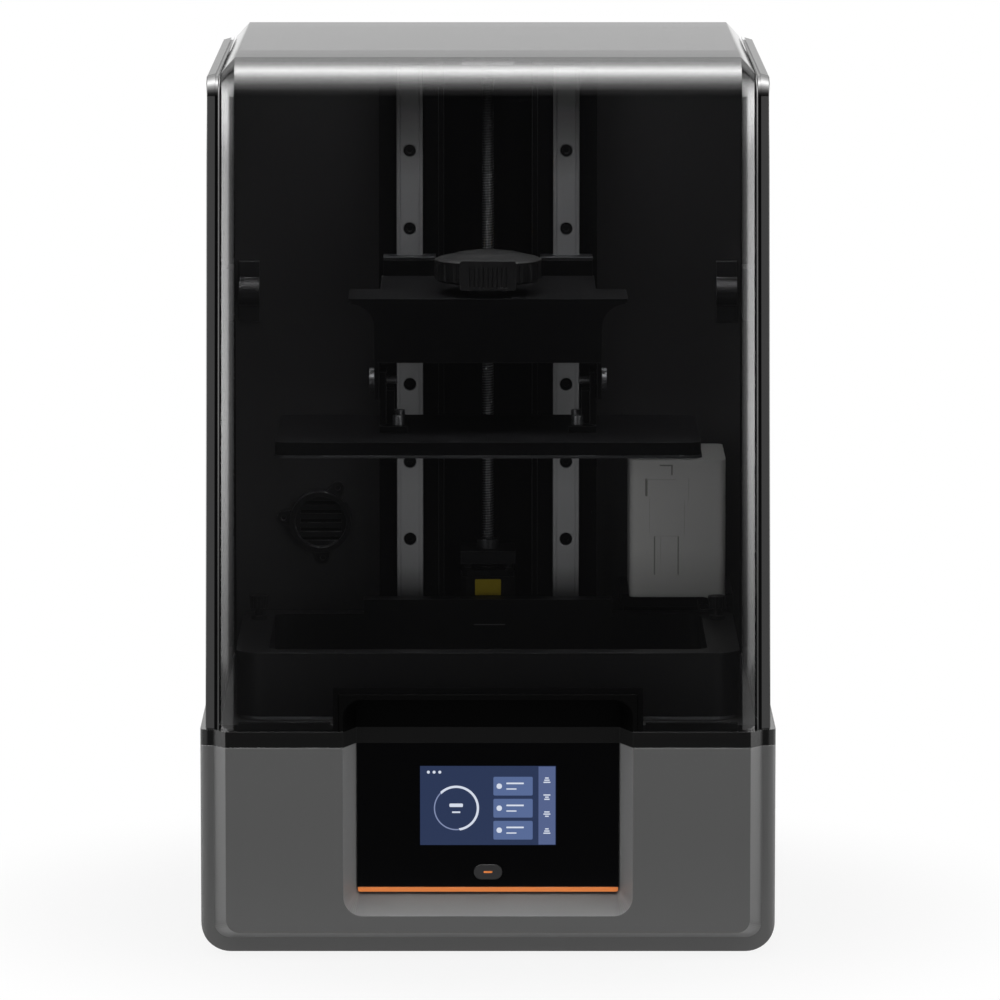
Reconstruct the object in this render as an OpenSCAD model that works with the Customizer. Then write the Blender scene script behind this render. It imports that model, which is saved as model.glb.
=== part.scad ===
// Resin printer: base with console, flip-up hood, vertical carriage and vat.
// X runs to the right, Y to the rear, Z up; the origin is on the floor, centred.

/* [Body] */
// Width of the base
body_w = 424; // [414:1:434]
// Depth of the base
body_d = 400; // [392:1:412]
// Height of the shell, floor to the trim band
seam_z = 157; // [151:1:165]
// Height of the trim band
trim_t = 11.8; // [10:0.2:14]
// Height of the feet below the shell
foot_h = 3; // [2:0.5:5]
// Thickness of the shell
wall = 2.5; // [2:0.1:3]

/* [Hood] */
// Height of the hood over the trim band
hood_h = 494.2; // [490:1:510]
// Thickness of the hood
hood_t = 3; // [2.6:0.1:3.4]
// Radius of the roll from front to top
roll_r = 28; // [22:1:34]
// Height of the hinge axis over the trim band
hinge_h = 287; // [280:1:292]

/* [Console] */
// Half width of the recess at its back
recess_hw = 97; // [94:1:100]
// Depth of the recess
recess_d = 23.3; // [20:0.1:25]
// Width of the display
display_w = 100; // [90:1:106]
// Height of the display
display_h = 59; // [50:1:62]

/* [Lift] */
// Distance between the two guide rails
rail_pitch = 120; // [116:1:124]
// Width of a guide rail
rail_w = 20; // [18:0.5:21]
// Radius of the lead screw
screw_r = 4; // [3:0.25:5]
// Thickness of the build plate
plate_t = 12; // [10:0.5:14]
// Height of the build plate over the deck
plate_h = 193.2; // [190:0.2:200]
// Height of the arm's top over the build plate's underside
arm_h = 114.7; // [112:0.1:118]

/* [Vat] */
// Gap between the vat and the hood's inner side
vat_gap = 15.4; // [13:0.2:18]
// Gap between the vat and the hood's front
vat_front = 49; // [46:1:54]
// Distance from the vat to the back wall
vat_rear = 95; // [92:1:99]
// Width of the vat's side rims
rim_w = 24; // [22:0.5:26]
// Depth of the vat's front and rear rims
rim_d = 18; // [17:0.5:20]
// Gap between the build plate and the vat's inner wall
plate_gap = 5; // [4:0.1:6]
// Height of the vat's front rim over the deck
vat_h = 51; // [44:1:54]

/* [Feed] */
// Width of the resin box
box_w = 73.5; // [64:0.5:76]
// Depth of the resin box
box_d = 98; // [92:1:102]
// Height of the resin box
box_h = 106; // [90:1:112]

/* [Fits] */
// Radial running clearance of shafts in bores
run_gap = 0.06; // [0.03:0.01:0.1]
// Clearance round inserts, caps and screw heads
slip_gap = 0.4; // [0.3:0.05:0.5]

/* [Hidden] */
$fn = 48;
// how far a cut runs past the face that it opens
cut = 1;

// base: half sizes, raised front panel, levels
hw = body_w / 2;
hd = body_d / 2;
front_r = 6;
rear_r = 18;
belly_r = 22;
panel_rise = 11.6;
shoulder_y = -hd + panel_rise;
panel_x1 = hw - 18.9;
panel_x2 = hw - 9.7;
deck_z = seam_z + trim_t;
deck_t = 8;
deck_x = hw - 14;
deck_y0 = -hd + 32;
deck_y1 = hd - 12;
floor_z = foot_h + wall + 2;
floor_in = 26;

// console
glass_t = 2.5;
glass_y = -hd + recess_d;
glass_z0 = 49;
lip_z = 31.5;
flare = 9.5;
slant = flare / recess_d;
display_z = 110;
button_z = 60.3;
button_hx = 10.4;
button_r = 5.6;
behind_y = glass_y + glass_t + wall;

// rear fittings of the base
fan_x = 122 - hw;
fan_z = 82;
inlet_x = hw - 62;
inlet_z = 52;
switch_z = 96;
port_x0 = 30;
port_x1 = 44.5;
port_z0 = 60;
port_z1 = 67;

// hood: front plane, side panels, hinge
top_z = deck_z + hood_h;
hood_y = -hd + 2;
hood_x = hw - 3.4;
hood_xi = hw - 9.6;
hood_set = 10;
hood_lean = 3.2;
bevel_x = hw - 15.1;
window_x = hw - 26.4;
handle_x = 110;
handle_h = 28;
pin_r = 4;
hinge_y = hd - 16;
hinge_z = deck_z + hinge_h;

// back housing, with the hinge blocks in its sides
back_x = hw - 16;
back_y = hd - 40;
back_z = deck_z + hood_h - 23;
cover_y = hd - 3;
block_x0 = back_x - 19;
block_x1 = back_x - 3;
block_h = 23.5;
duct_x = 66 - back_x;
duct_z = deck_z + 108;
back_screw_x = back_x - 10;
back_screw_z = [deck_z + 12, deck_z + 150, deck_z + 380, back_z - 12];

// column, rails and screw
rail_x = rail_pitch / 2;
col_y = back_y - 53;
col_x = rail_x + 24;
chan_x = 34;
chan_y = back_y - 22;
rail_t = 12;
rail_y = col_y - rail_t;
rail_z0 = deck_z + 15.2;
rail_l = back_z - 6 - rail_z0;
rail_screw_r = 2.5;
rail_head_r = 4.9;
rail_screw_z = [for (k = [0:6]) rail_z0 + 27 + 60 * k];
screw_y = back_y - 48;
motor_r = 21.1;
motor_z = deck_z + 80.2;
bearing_z = motor_z + 13;
top_bearing_z = back_z - 13.2;

// vat, screen and the light under them
vat_w = 2 * (hood_xi - vat_gap);
vat_y0 = hood_y + vat_front;
vat_y1 = back_y - vat_rear;
vat_d = vat_y1 - vat_y0;
vat_z = deck_z + 3.2;
vat_top = deck_z + vat_h;
film_t = 0.4;
bed_y = (vat_y0 + vat_y1) / 2;
cav_x = vat_w / 2 - rim_w;
cav_y = vat_d / 2 - rim_d;
post_x = vat_w / 2 - 12.5;
post_y = bed_y + 62;
post_r = 3;
plate_w = 2 * (cav_x - plate_gap);
plate_d = 2 * (cav_y - plate_gap);
screen_x = plate_w / 2 - 6;
screen_y = plate_d / 2 + 1;
light_z = deck_z - 76;
light_wall = 2.5;

// arm, clamp and build plate
plate_z = deck_z + plate_h;
face_t = 2;
arm_z = plate_z + arm_h;
arm_y = bed_y - 46;
arm_x = rail_x + 25;
arm_t = 3.5;
arm_low = arm_z - 48;
flange_x = arm_x + 19;
flange_t = 4;
slide_x = rail_x + 21;
slide_t = 10;
zplate_y = rail_y - 25;
block_z0 = arm_z - 50;
block_z1 = arm_z + 14;
clamp_r = 6;
knob_z = arm_z + 9;
side_z = arm_z - 66;
side_r = 3;
level_x = arm_x - 18;
level_y = 18;
level_r = 2.5;

// resin feed
box_x = (col_x + hood_xi) / 2 + 1.8;
box_y0 = back_y - 10 - box_d;
box_z = deck_z + 63.2;
box_t = 2;
shelf_t = 10;
spout_z = vat_top + 2;

// box between two values on each axis
module box(x0, x1, y0, y1, z0, z1) {
  translate([x0, y0, z0]) cube([x1 - x0, y1 - y0, z1 - z0]);
}

// box centred on x
module wide_box(hx, y0, y1, z0, z1, x = 0) {
  box(x - hx, x + hx, y0, y1, z0, z1);
}

// cylinders along +X, +Y or +Z
module cyl_x(x0, x1, y, z, r) {
  translate([x0, y, z]) rotate([0, 90, 0]) cylinder(h = x1 - x0, r = r);
}
module cyl_y(x, y0, y1, z, r) {
  translate([x, y0, z]) rotate([-90, 0, 0]) cylinder(h = y1 - y0, r = r);
}
module cyl_z(x, y, z0, z1, r) {
  translate([x, y, z0]) cylinder(h = z1 - z0, r = r);
}

// sockets for a hexagonal key
module hex_x(x0, x1, y, z, r) {
  translate([x0, y, z]) rotate([0, 90, 0]) cylinder(h = x1 - x0, r = r, $fn = 6);
}
module hex_y(x, y0, y1, z, r) {
  translate([x, y0, z]) rotate([-90, 0, 0]) cylinder(h = y1 - y0, r = r, $fn = 6);
}
module hex_z(x, y, z0, z1, r) {
  translate([x, y, z0]) cylinder(h = z1 - z0, r = r, $fn = 6);
}

// what lies on the right, and its mirror image on the left
module pair() {
  children();
  mirror([1, 0, 0]) children();
}

// box with its four upright edges rounded: rf in front, rr at the rear
module upright_box(x0, x1, y0, y1, z0, z1, rf, rr) {
  box(x0 + rf, x1 - rf, y0, y0 + rf, z0, z1);
  box(x0, x1, y0 + rf, y1 - rr, z0, z1);
  box(x0 + rr, x1 - rr, y1 - rr, y1, z0, z1);
  for (x = [x0 + rf, x1 - rf]) cyl_z(x, y0 + rf, z0, z1, rf);
  for (x = [x0 + rr, x1 - rr]) cyl_z(x, y1 - rr, z0, z1, rr);
}

// box seen from the front with rounded corners: rb below, rt above
module front_box(x0, x1, y0, y1, z0, z1, rb, rt) {
  if (rb > 0) box(x0 + rb, x1 - rb, y0, y1, z0, z0 + rb);
  box(x0, x1, y0, y1, z0 + rb, z1 - rt);
  if (rt > 0) box(x0 + rt, x1 - rt, y0, y1, z1 - rt, z1);
  if (rb > 0) for (x = [x0 + rb, x1 - rb]) cyl_y(x, y0, y1, z0 + rb, rb);
  if (rt > 0) for (x = [x0 + rt, x1 - rt]) cyl_y(x, y0, y1, z1 - rt, rt);
}

// flat pill seen from the front
module pill(hx, y0, y1, zc, r) {
  wide_box(hx - r, y0, y1, zc - r, zc + r);
  for (s = [-1, 1]) cyl_y(s * (hx - r), y0, y1, zc, r);
}

// row of n slots through the rear, one above the other
module slot_rows(x, hx, y0, y1, z0, pitch, slot, n) {
  for (k = [0:n - 1]) wide_box(hx, y0, y1, z0 + pitch * k, z0 + pitch * k + slot, x);
}

// slots across a round grille: n on each side of the middle one
module round_grille(x, z, y0, y1, r, pitch, slot, n) {
  for (k = [-n:n]) {
    reach = sqrt(r * r - pow(pitch * k, 2));
    wide_box(reach, y0, y1, z + pitch * k - slot / 2, z + pitch * k + slot / 2, x);
  }
}

// opening for the display, dx wider on each side
module display_box(d, y0, y1) {
  wide_box(display_w / 2 + d, y0, y1, display_z - display_h / 2 - d, display_z + display_h / 2 + d);
}

// thin plate with rounded lower corners, for the hulls of the front
module front_plate(hx, y, z0, z1, r) {
  t = 0.2;
  for (s = [-1, 1]) {
    cyl_y(s * (hx - r), y, y + t, z0 + r, r);
    wide_box(0.5, y, y + t, z1 - 1, z1, s * (hx - 0.5));
  }
}

// raised front panel with bevelled sides and foot, i inside its outer face
module raised_panel(i, z1) {
  hull() {
    front_plate(panel_x1 - 0.6 * i, -hd + i, foot_h + 15.7 + i, z1, 10);
    front_plate(panel_x2 - 0.6 * i, shoulder_y + i, foot_h + 10.5 + i, z1, 12);
  }
}

module base_solid(i, z1) {
  intersection() {
    upright_box(-hw + i, hw - i, shoulder_y + i, hd - i, foot_h + i, z1, front_r - i, rear_r - i);
    front_box(-hw + i, hw - i, -hd, hd, foot_h + i, z1 + 1, belly_r - i, 0);
  }
  raised_panel(i, z1);
}

// funnel of the console recess, grown by i
recess_front = recess_hw + flare + 2 * slant;
module recess(i, z1) {
  hull() {
    front_plate(recess_front + i, -hd - 2, lip_z - 1 - i, z1, 15);
    front_plate(recess_hw + i, glass_y - 0.2, glass_z0 - 4 - i, z1, 3);
    front_plate(recess_hw + i, glass_y + glass_t - 0.2 + i, glass_z0 - 4 - i, z1, 3);
  }
}

// the same funnel seen in plan, for the pieces above the shell
module recess_plan(z0, z1) {
  translate([0, 0, z0]) linear_extrude(z1 - z0) polygon([
    [-recess_front, -hd - 2], [recess_front, -hd - 2],
    [recess_hw, glass_y], [-recess_hw, glass_y]
  ]);
}

module base_shell() color([0.31, 0.31, 0.31]) difference() {
  base_solid(0, seam_z);
  difference() {
    base_solid(wall, seam_z + 5);
    recess(wall, seam_z + 6);
  }
  recess(0, seam_z + cut);
  // floor, closed by the bottom plate
  upright_box(-hw + floor_in, hw - floor_in, shoulder_y + floor_in, hd - floor_in,
    -cut, foot_h + wall + cut, 8, 8);
  // console openings
  display_box(slip_gap, -hd, behind_y + 3.5);
  pill(button_hx + slip_gap, -hd, behind_y + 3.5, button_z, button_r + slip_gap);
  // rear openings
  wide_box(14, hd - 10, hd + cut, inlet_z - 10, inlet_z + 10, inlet_x);
  wide_box(10, hd - 10, hd + cut, switch_z - 7, switch_z + 7, inlet_x);
  box(port_x0, port_x1, hd - 10, hd + cut, port_z0, port_z1);
  round_grille(fan_x, fan_z, hd - 10, hd + cut, 27, 8, 4, 3);
  // side vents
  pair() for (k = [0:9]) box(hw - 10, hw + cut, 20 + 12 * k, 26 + 12 * k, 50, 90);
}

module bottom_plate() color([0.2, 0.2, 0.21]) {
  edge = floor_in - 2;
  difference() {
    upright_box(-hw + edge, hw - edge, shoulder_y + edge, hd - edge, foot_h + wall, floor_z, 8, 8);
    pair() for (k = [0:7]) box(55, 125, -60 + 14 * k, -54 + 14 * k, -cut, 20);
  }
}

// rubber feet, chamfered where they meet the floor
module feet() color([0.06, 0.06, 0.06]) {
  foot_r = 12;
  chamfer = 1;
  pair() for (y = [shoulder_y + 40, hd - 40]) {
    translate([hw - 45, y, 0]) cylinder(h = chamfer, r1 = foot_r - chamfer, r2 = foot_r);
    cyl_z(hw - 45, y, chamfer, foot_h + wall, foot_r);
  }
}

module console_glass() color([0.02, 0.02, 0.025]) difference() {
  wide_box(recess_hw - 0.3, glass_y, glass_y + glass_t, glass_z0, seam_z);
  display_box(0.15, -hd, 0);
  pill(button_hx + slip_gap, -hd, 0, button_z, button_r + slip_gap);
}

module accent_strip() color([0.85, 0.42, 0.17]) {
  hx = recess_hw - 0.8;
  front_box(-hx, hx, glass_y - 0.6, glass_y + glass_t, glass_z0 - 3.5, glass_z0, 1.7, 0);
}

module display() color([0.17, 0.23, 0.38]) {
  tray_y = glass_y + 14;
  display_box(0, glass_y + 0.2, behind_y);
  display_box(4, behind_y, tray_y);
  wide_box(30, tray_y, tray_y + 3, display_z - 18, display_z + 12);
}

module power_button() color([0.2, 0.2, 0.21]) {
  pill(button_hx, glass_y - 0.8, behind_y + 0.5, button_z, button_r);
  pill(button_hx + 3.1, behind_y + 0.3, behind_y + 2.3, button_z, button_r + 2.4);
  cyl_y(0, behind_y + 2.3, behind_y + 4.3, button_z, 2.5);
}
module button_switch() color([0.12, 0.12, 0.12]) {
  y = behind_y + 5.3;
  wide_box(6, y, y + 5, button_z - 6, button_z + 6);
  wide_box(24, y + 5, y + 6.6, button_z - 9, display_z - 18);
}

module mainboard() color([0.05, 0.25, 0.16]) translate([27 - hw, hd - 160, floor_z]) {
  board_x = 145;
  board_y = 120;
  board_z = 4;
  top = board_z + 1.6;
  box(0, board_x, 0, board_y, board_z, top);
  for (x = [6, board_x - 6], y = [6, board_y - 6]) cyl_z(x, y, 0, board_z, 3);
  // processor, motor drivers, sockets and a capacitor block
  box(35, 63, 44, 72, top, 9);
  for (k = [0:4]) box(73 + 14 * k, 83 + 14 * k, 20, 32, top, 12);
  for (k = [0:5]) box(9 + 20 * k, 21 + 20 * k, 106, 117, top, 15);
  box(99, 125, 60, 86, top, 14);
}

module power_supply() color([0.62, 0.63, 0.64]) translate([20, hd - 148, floor_z]) {
  side = 108;
  height = 40;
  difference() {
    box(0, side, 0, side, 0, height);
    for (k = [0:5]) box(10 + 16 * k, 18 + 16 * k, 10, 68, height - 2, height + cut);
  }
  for (k = [0:4]) box(10 + 18 * k, 20 + 18 * k, side, side + 8, 6, 16);
}

// box centred on the screen and dx, dy larger than it on each side
module bed_box(dx, dy, z0, z1) {
  box(-screen_x - dx, screen_x + dx, bed_y - screen_y - dy, bed_y + screen_y + dy, z0, z1);
}
module light_housing() color([0.72, 0.73, 0.74]) {
  rim_z = deck_z - deck_t - 3;
  difference() {
    union() {
      bed_box(6, 7, light_z, rim_z + 3);
      bed_box(16, 15, rim_z, rim_z + 3);
      // cooling fins under the lamps
      for (k = [0:12]) box(21 * k - 130, 21 * k - 127, bed_y - 70, bed_y + 70, light_z - 30, light_z + 1);
    }
    bed_box(6 - light_wall, 7 - light_wall, light_z + 3, rim_z);
    bed_box(-3, -3, light_z + 3, deck_z);
  }
}
module light_array() color([0.9, 0.9, 0.86]) {
  z0 = light_z + 3;
  bed_box(-12, -9, z0, z0 + 1.6);
  for (x = [-2:2], y = [-1:1])
    cyl_z(x * (screen_x - 40) / 2, bed_y + y * (screen_y - 35), z0 + 1.6, z0 + 5, 5);
}
module lens() color([0.85, 0.9, 0.92, 0.5])
  bed_box(6 - light_wall, 7 - light_wall, deck_z - 22, deck_z - 18);

// flange behind a rear opening
module rear_flange(hx, z0, z1, x, r) {
  front_box(x - hx, x + hx, hd - wall - 3, hd - wall, z0, z1, r, r);
}
module inlet() color([0.08, 0.08, 0.085]) difference() {
  union() {
    wide_box(13.7, hd - 26, hd, inlet_z - 9.7, inlet_z + 9.7, inlet_x);
    rear_flange(25, inlet_z - 13, inlet_z + 13, inlet_x, 3);
  }
  wide_box(12, hd - 17, hd + cut, inlet_z - 8, inlet_z + 8, inlet_x);
}

switch_y = hd - 6;
pivot_r = 1.5;
module switch_frame() color([0.07, 0.07, 0.075]) difference() {
  union() {
    wide_box(9.7, hd - 18, hd, switch_z - 6.7, switch_z + 6.7, inlet_x);
    rear_flange(12, switch_z - 9, switch_z + 9, inlet_x, 1);
  }
  wide_box(8.5, hd - 14, hd + cut, switch_z - 5.7, switch_z + 5.7, inlet_x);
  cyl_x(inlet_x - 9.6, inlet_x + 9.6, switch_y, switch_z, pivot_r);
}
// two paddles that meet in a shallow V, the lower one proud
module switch_rocker() color([0.6, 0.09, 0.07]) {
  translate([inlet_x, switch_y, switch_z]) rotate([90, 0, 90]) linear_extrude(16, center = true)
    polygon([[-4, -1.5], [-4, 1.5], [-1, 4.9], [1.2, 4.9], [1.6, 0], [3.2, -4.6], [-1, -4.9]]);
  cyl_x(inlet_x - 9.4, inlet_x + 9.4, switch_y, switch_z, pivot_r - run_gap);
}

fan_y = hd - wall;
fan_d = 15;
axle_r = 2;
module fan_frame() color([0.07, 0.07, 0.075]) difference() {
  union() {
    difference() {
      front_box(fan_x - 30, fan_x + 30, fan_y - fan_d, fan_y, fan_z - 30, fan_z + 30, 3, 3);
      cyl_y(fan_x, fan_y - fan_d - cut, fan_y + cut, fan_z, 28.2);
    }
    // crossed spokes that carry the hub
    for (a = [45, 135]) translate([fan_x, fan_y - fan_d, fan_z]) rotate([0, a, 0])
      box(-31, 31, 0.4, 2.6, -1.5, 1.5);
    cyl_y(fan_x, fan_y - fan_d, fan_y - fan_d + 3, fan_z, 11);
  }
  cyl_y(fan_x, fan_y - fan_d + cut, fan_y - fan_d + 4, fan_z, axle_r + run_gap);
}
module fan_rotor() color([0.1, 0.1, 0.11]) {
  y0 = fan_y - fan_d + 3.5;
  blades = 7;
  cyl_y(fan_x, y0, y0 + 9.5, fan_z, 12);
  cyl_y(fan_x, y0 - 2.4, y0 + 1, fan_z, axle_r);
  for (k = [0:blades - 1])
    translate([fan_x, y0 + 4.8, fan_z]) rotate([0, k * 360 / blades, 0]) translate([11, 0, 0])
      rotate([35, 0, 0]) box(0, 15.6, -0.6, 0.6, -5, 5);
}

module data_port() color([0.6, 0.6, 0.62]) difference() {
  union() {
    box(port_x0 + 0.3, port_x1 - 0.3, hd - 18, hd - 0.3, port_z0 + 0.3, port_z1 - 0.3);
    box(port_x0 - 3, port_x1 + 3, hd - wall - 3, hd - wall, port_z0 - 3, port_z1 + 3);
  }
  for (z = [port_z0 + 1, port_z0 + 4.2]) box(port_x0 + 1, port_x1 - 1, hd - 15, hd + cut, z, z + 1.8);
}

module trim_band() color([0.1, 0.1, 0.1]) difference() {
  union() {
    upright_box(-hw, hw, shoulder_y, hd, seam_z, deck_z, front_r, rear_r);
    translate([0, 0, seam_z]) linear_extrude(trim_t) polygon([
      [-panel_x2, shoulder_y + 1], [-panel_x2, shoulder_y], [-panel_x1, -hd],
      [panel_x1, -hd], [panel_x2, shoulder_y], [panel_x2, shoulder_y + 1]
    ]);
  }
  box(-deck_x, deck_x, deck_y0, deck_y1, seam_z - cut, deck_z + cut);
  recess_plan(seam_z - cut, deck_z + cut);
}

module deck_plate() color([0.09, 0.09, 0.095]) difference() {
  box(-deck_x, deck_x, deck_y0, deck_y1, deck_z - deck_t, deck_z);
  bed_box(0, 0, 0, deck_z + cut);
  wide_box(30, chan_y + 6, back_y - 6, 0, deck_z + cut);
  pair() cyl_z(post_x, post_y, 0, deck_z + cut, post_r + slip_gap);
}
module mask_screen() color([0.03, 0.03, 0.05])
  bed_box(-0.3, -0.3, deck_z - deck_t, deck_z - 0.2);

back_wall = 3;
module back_housing() color([0.12, 0.12, 0.125]) difference() {
  union() {
    difference() {
      box(-back_x, back_x, back_y, cover_y, deck_z, back_z);
      box(-back_x + back_wall, back_x - back_wall, back_y + back_wall, hd, deck_z - cut, back_z - back_wall);
    }
    pair() for (z = back_screw_z) cyl_y(back_screw_x, back_y + 1, cover_y, z, 5);
  }
  pair() {
    for (z = back_screw_z) cyl_y(back_screw_x, hd - 12, hd, z, 1.5 + slip_gap);
    box(block_x0, block_x1 + 1, back_y - 1, back_y + 4, hinge_z - block_h - 0.5, hinge_z + block_h + 0.5);
    cyl_x(block_x0 - 73, hw, hinge_y, hinge_z, pin_r + 2);
  }
  cyl_y(duct_x, back_y - 1, back_y + 4, duct_z, 21);
}
module back_cover() color([0.13, 0.13, 0.135]) difference() {
  box(-back_x, back_x, cover_y, hd - 1, deck_z, back_z);
  pair() for (z = back_screw_z) cyl_y(back_screw_x, hd - 4, hd, z, 1.5 + slip_gap);
  for (s = [-1, 1]) slot_rows(110 * s, 40, hd - 4, hd + cut, deck_z + 300, 10, 4, 10);
}
module back_screws() color([0.5, 0.5, 0.52])
  pair() for (z = back_screw_z) difference() {
    union() {
      cyl_y(back_screw_x, hd - 1, hd, z, 3.5);
      cyl_y(back_screw_x, hd - 10, hd - 1, z, 1.5);
    }
    hex_y(back_screw_x, hd - 1.6, hd + cut, z, 1.2);
  }

module hinge_blocks() color([0.25, 0.25, 0.26]) pair() difference() {
  union() {
    box(block_x0, block_x1, back_y - 2, hd - 4, hinge_z - block_h, hinge_z + block_h);
    cyl_x(block_x0, block_x1, back_y - 2, hinge_z, 11);
  }
  cyl_x(block_x0 - 73, hw, hinge_y, hinge_z, pin_r + run_gap);
}

// round air outlet with three screwed ears
ear_r = 29;
ear_at = [for (a = [63, 175, 273]) [ear_r * cos(a), ear_r * sin(a)]];
module air_port() color([0.1, 0.1, 0.105]) difference() {
  union() {
    cyl_y(duct_x, back_y - 14, back_y, duct_z, 24);
    for (p = ear_at) hull() {
      cyl_y(duct_x + p[0], back_y - 5, back_y, duct_z + p[1], 5);
      cyl_y(duct_x + p[0] / 2, back_y - 5, back_y, duct_z + p[1] / 2, 8);
    }
  }
  cyl_y(duct_x, back_y - 15, back_y - 3, duct_z, 20);
  slot_rows(duct_x, 16, back_y - 4, back_y + cut, duct_z - 15.5, 7, 3, 5);
  for (p = ear_at) cyl_y(duct_x + p[0], back_y - 6, back_y - 3, duct_z + p[1], 2);
}

module column() color([0.16, 0.16, 0.165]) difference() {
  union() {
    box(-col_x, col_x, col_y, back_y, deck_z, back_z - 4);
    pair() box(chan_x, chan_x + 4, col_y - 1, col_y + 2, deck_z, back_z - 4);
  }
  box(-chan_x, chan_x, col_y - 2, chan_y, deck_z - cut, back_z);
  pair() {
    wide_box(19, col_y + 8, chan_y + 8, deck_z - cut, back_z, rail_x);
    for (z = rail_screw_z) cyl_y(rail_x, col_y - 1, col_y + 10, z, rail_screw_r + slip_gap);
  }
}

// half of a profile rail in plan: groove in its face, chamfer, waist for the carriage's balls, foot
rail_half = [
  [rail_w / 2 - 3.1, 0], [rail_w / 2 - 3.1, 0.6], [rail_w / 2 - 2.3, 0.6], [rail_w / 2 - 2.3, 0],
  [rail_w / 2 - 0.6, 0], [rail_w / 2, 0.6], [rail_w / 2, 4], [rail_w / 2 - 2, 5.2],
  [rail_w / 2 - 2, 7.8], [rail_w / 2, 9], [rail_w / 2, rail_t]
];
rail_rest = [for (k = [len(rail_half) - 1:-1:0]) [-rail_half[k][0], rail_half[k][1]]];
module rail() difference() {
  translate([rail_x, rail_y, rail_z0]) linear_extrude(rail_l) polygon(concat(rail_half, rail_rest));
  for (z = rail_screw_z) {
    cyl_y(rail_x, rail_y - 1, rail_y + 5.5, z, rail_head_r);
    cyl_y(rail_x, rail_y - 1, col_y + 1, z, rail_screw_r + slip_gap);
  }
}
module rail_left() color([0.62, 0.63, 0.65]) mirror([1, 0, 0]) rail();
module rail_right() color([0.62, 0.63, 0.65]) rail();
module rail_screws() color([0.3, 0.3, 0.31])
  pair() for (z = rail_screw_z) difference() {
    union() {
      cyl_y(rail_x, rail_y + 0.7, rail_y + 5.5, z, rail_head_r - slip_gap);
      cyl_y(rail_x, rail_y + 5, col_y + 9, z, rail_screw_r);
    }
    hex_y(rail_x, rail_y, rail_y + 3.5, z, 2.3);
  }

// square with its corners cut by c, drawn out upwards
module cut_square(a, c, z0, z1) {
  translate([0, screw_y, z0]) linear_extrude(z1 - z0) intersection() {
    square(2 * a, center = true);
    rotate(45) square(2 * (a * sqrt(2) - c / sqrt(2)), center = true);
  }
}
// stepper motor: two end bells round the laminations, and the boss that centres it
module z_motor() color([0.07, 0.07, 0.075]) difference() {
  union() {
    cut_square(motor_r, 4, deck_z, deck_z + 16);
    cut_square(motor_r - 0.8, 6, deck_z + 15, motor_z - 24);
    cut_square(motor_r, 4, motor_z - 25, motor_z - 7);
    cut_square(motor_r - 1.1, 4, motor_z - 8, motor_z - 2);
    cyl_z(0, screw_y, motor_z - 3, motor_z, 11);
    for (x = [-15.5, 15.5], y = [-15.5, 15.5]) cyl_z(x, screw_y + y, motor_z - 3, motor_z, 4);
  }
  cyl_z(0, screw_y, motor_z - 12, motor_z + cut, screw_r + 1);
}
module motor_plate() color([0.7, 0.6, 0.12]) {
  y = screw_y - motor_r;
  front_box(-10, 10, y - 0.9, y, deck_z + 59, deck_z + 71.5, 1, 1);
}
module screw_bearings() color([0.22, 0.22, 0.23]) difference() {
  union() {
    wide_box(21, screw_y - 21, chan_y, motor_z + 3, bearing_z);
    for (x = [-15.5, 15.5], y = [-15.5, 15.5]) cyl_z(x, screw_y + y, motor_z, motor_z + 4, 3);
    wide_box(20, screw_y - 16, chan_y, top_bearing_z, top_bearing_z + 10);
  }
  cyl_z(0, screw_y, motor_z - 1, top_bearing_z + 11, screw_r + run_gap);
}
module lead_screw() color([0.66, 0.67, 0.69]) {
  cyl_z(0, screw_y, motor_z - 6, top_bearing_z + 9, screw_r);
  cyl_z(0, screw_y, bearing_z, bearing_z + 7, screw_r + 4.5);
}

// linear guide block: body with a proud end cap above and below
module carriage() {
  clear = 0.3;
  cap = 6;
  difference() {
    union() {
      wide_box(19.2, zplate_y + slide_t, rail_y + 9.5, block_z0 + 1, block_z1 - 1, rail_x);
      for (z = [block_z0, block_z1 - cap])
        wide_box(20, zplate_y + slide_t, rail_y + 9.5, z, z + cap, rail_x);
    }
    wide_box(rail_w / 2 + clear, rail_y - clear, rail_y + 20, block_z0 - cut, block_z1 + cut, rail_x);
  }
}
module carriage_left() color([0.35, 0.36, 0.37]) mirror([1, 0, 0]) carriage();
module carriage_right() color([0.35, 0.36, 0.37]) carriage();
module lead_nut() color([0.72, 0.58, 0.28]) difference() {
  union() {
    wide_box(14, zplate_y + slide_t, screw_y, arm_z - 11, arm_z - 1);
    cyl_z(0, screw_y, arm_z - 11, arm_z - 1, 14);
    cyl_z(0, screw_y, arm_z - 2, arm_z + 13, screw_r + 4);
  }
  cyl_z(0, screw_y, arm_z - 20, arm_z + 20, screw_r + run_gap);
}
module slide_plate() color([0.14, 0.14, 0.145]) difference() {
  union() {
    wide_box(slide_x, zplate_y, zplate_y + slide_t, block_z0 + 2, arm_z);
    pair() wide_box(20, zplate_y + 4, zplate_y + slide_t, arm_z - 1, block_z1 - 2, rail_x);
  }
  pair() for (x = [-10, 10], z = [block_z0 + 12, arm_z - 12])
    cyl_y(rail_x + x, zplate_y - 1, zplate_y + slide_t + 1, z, 2);
}

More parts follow.
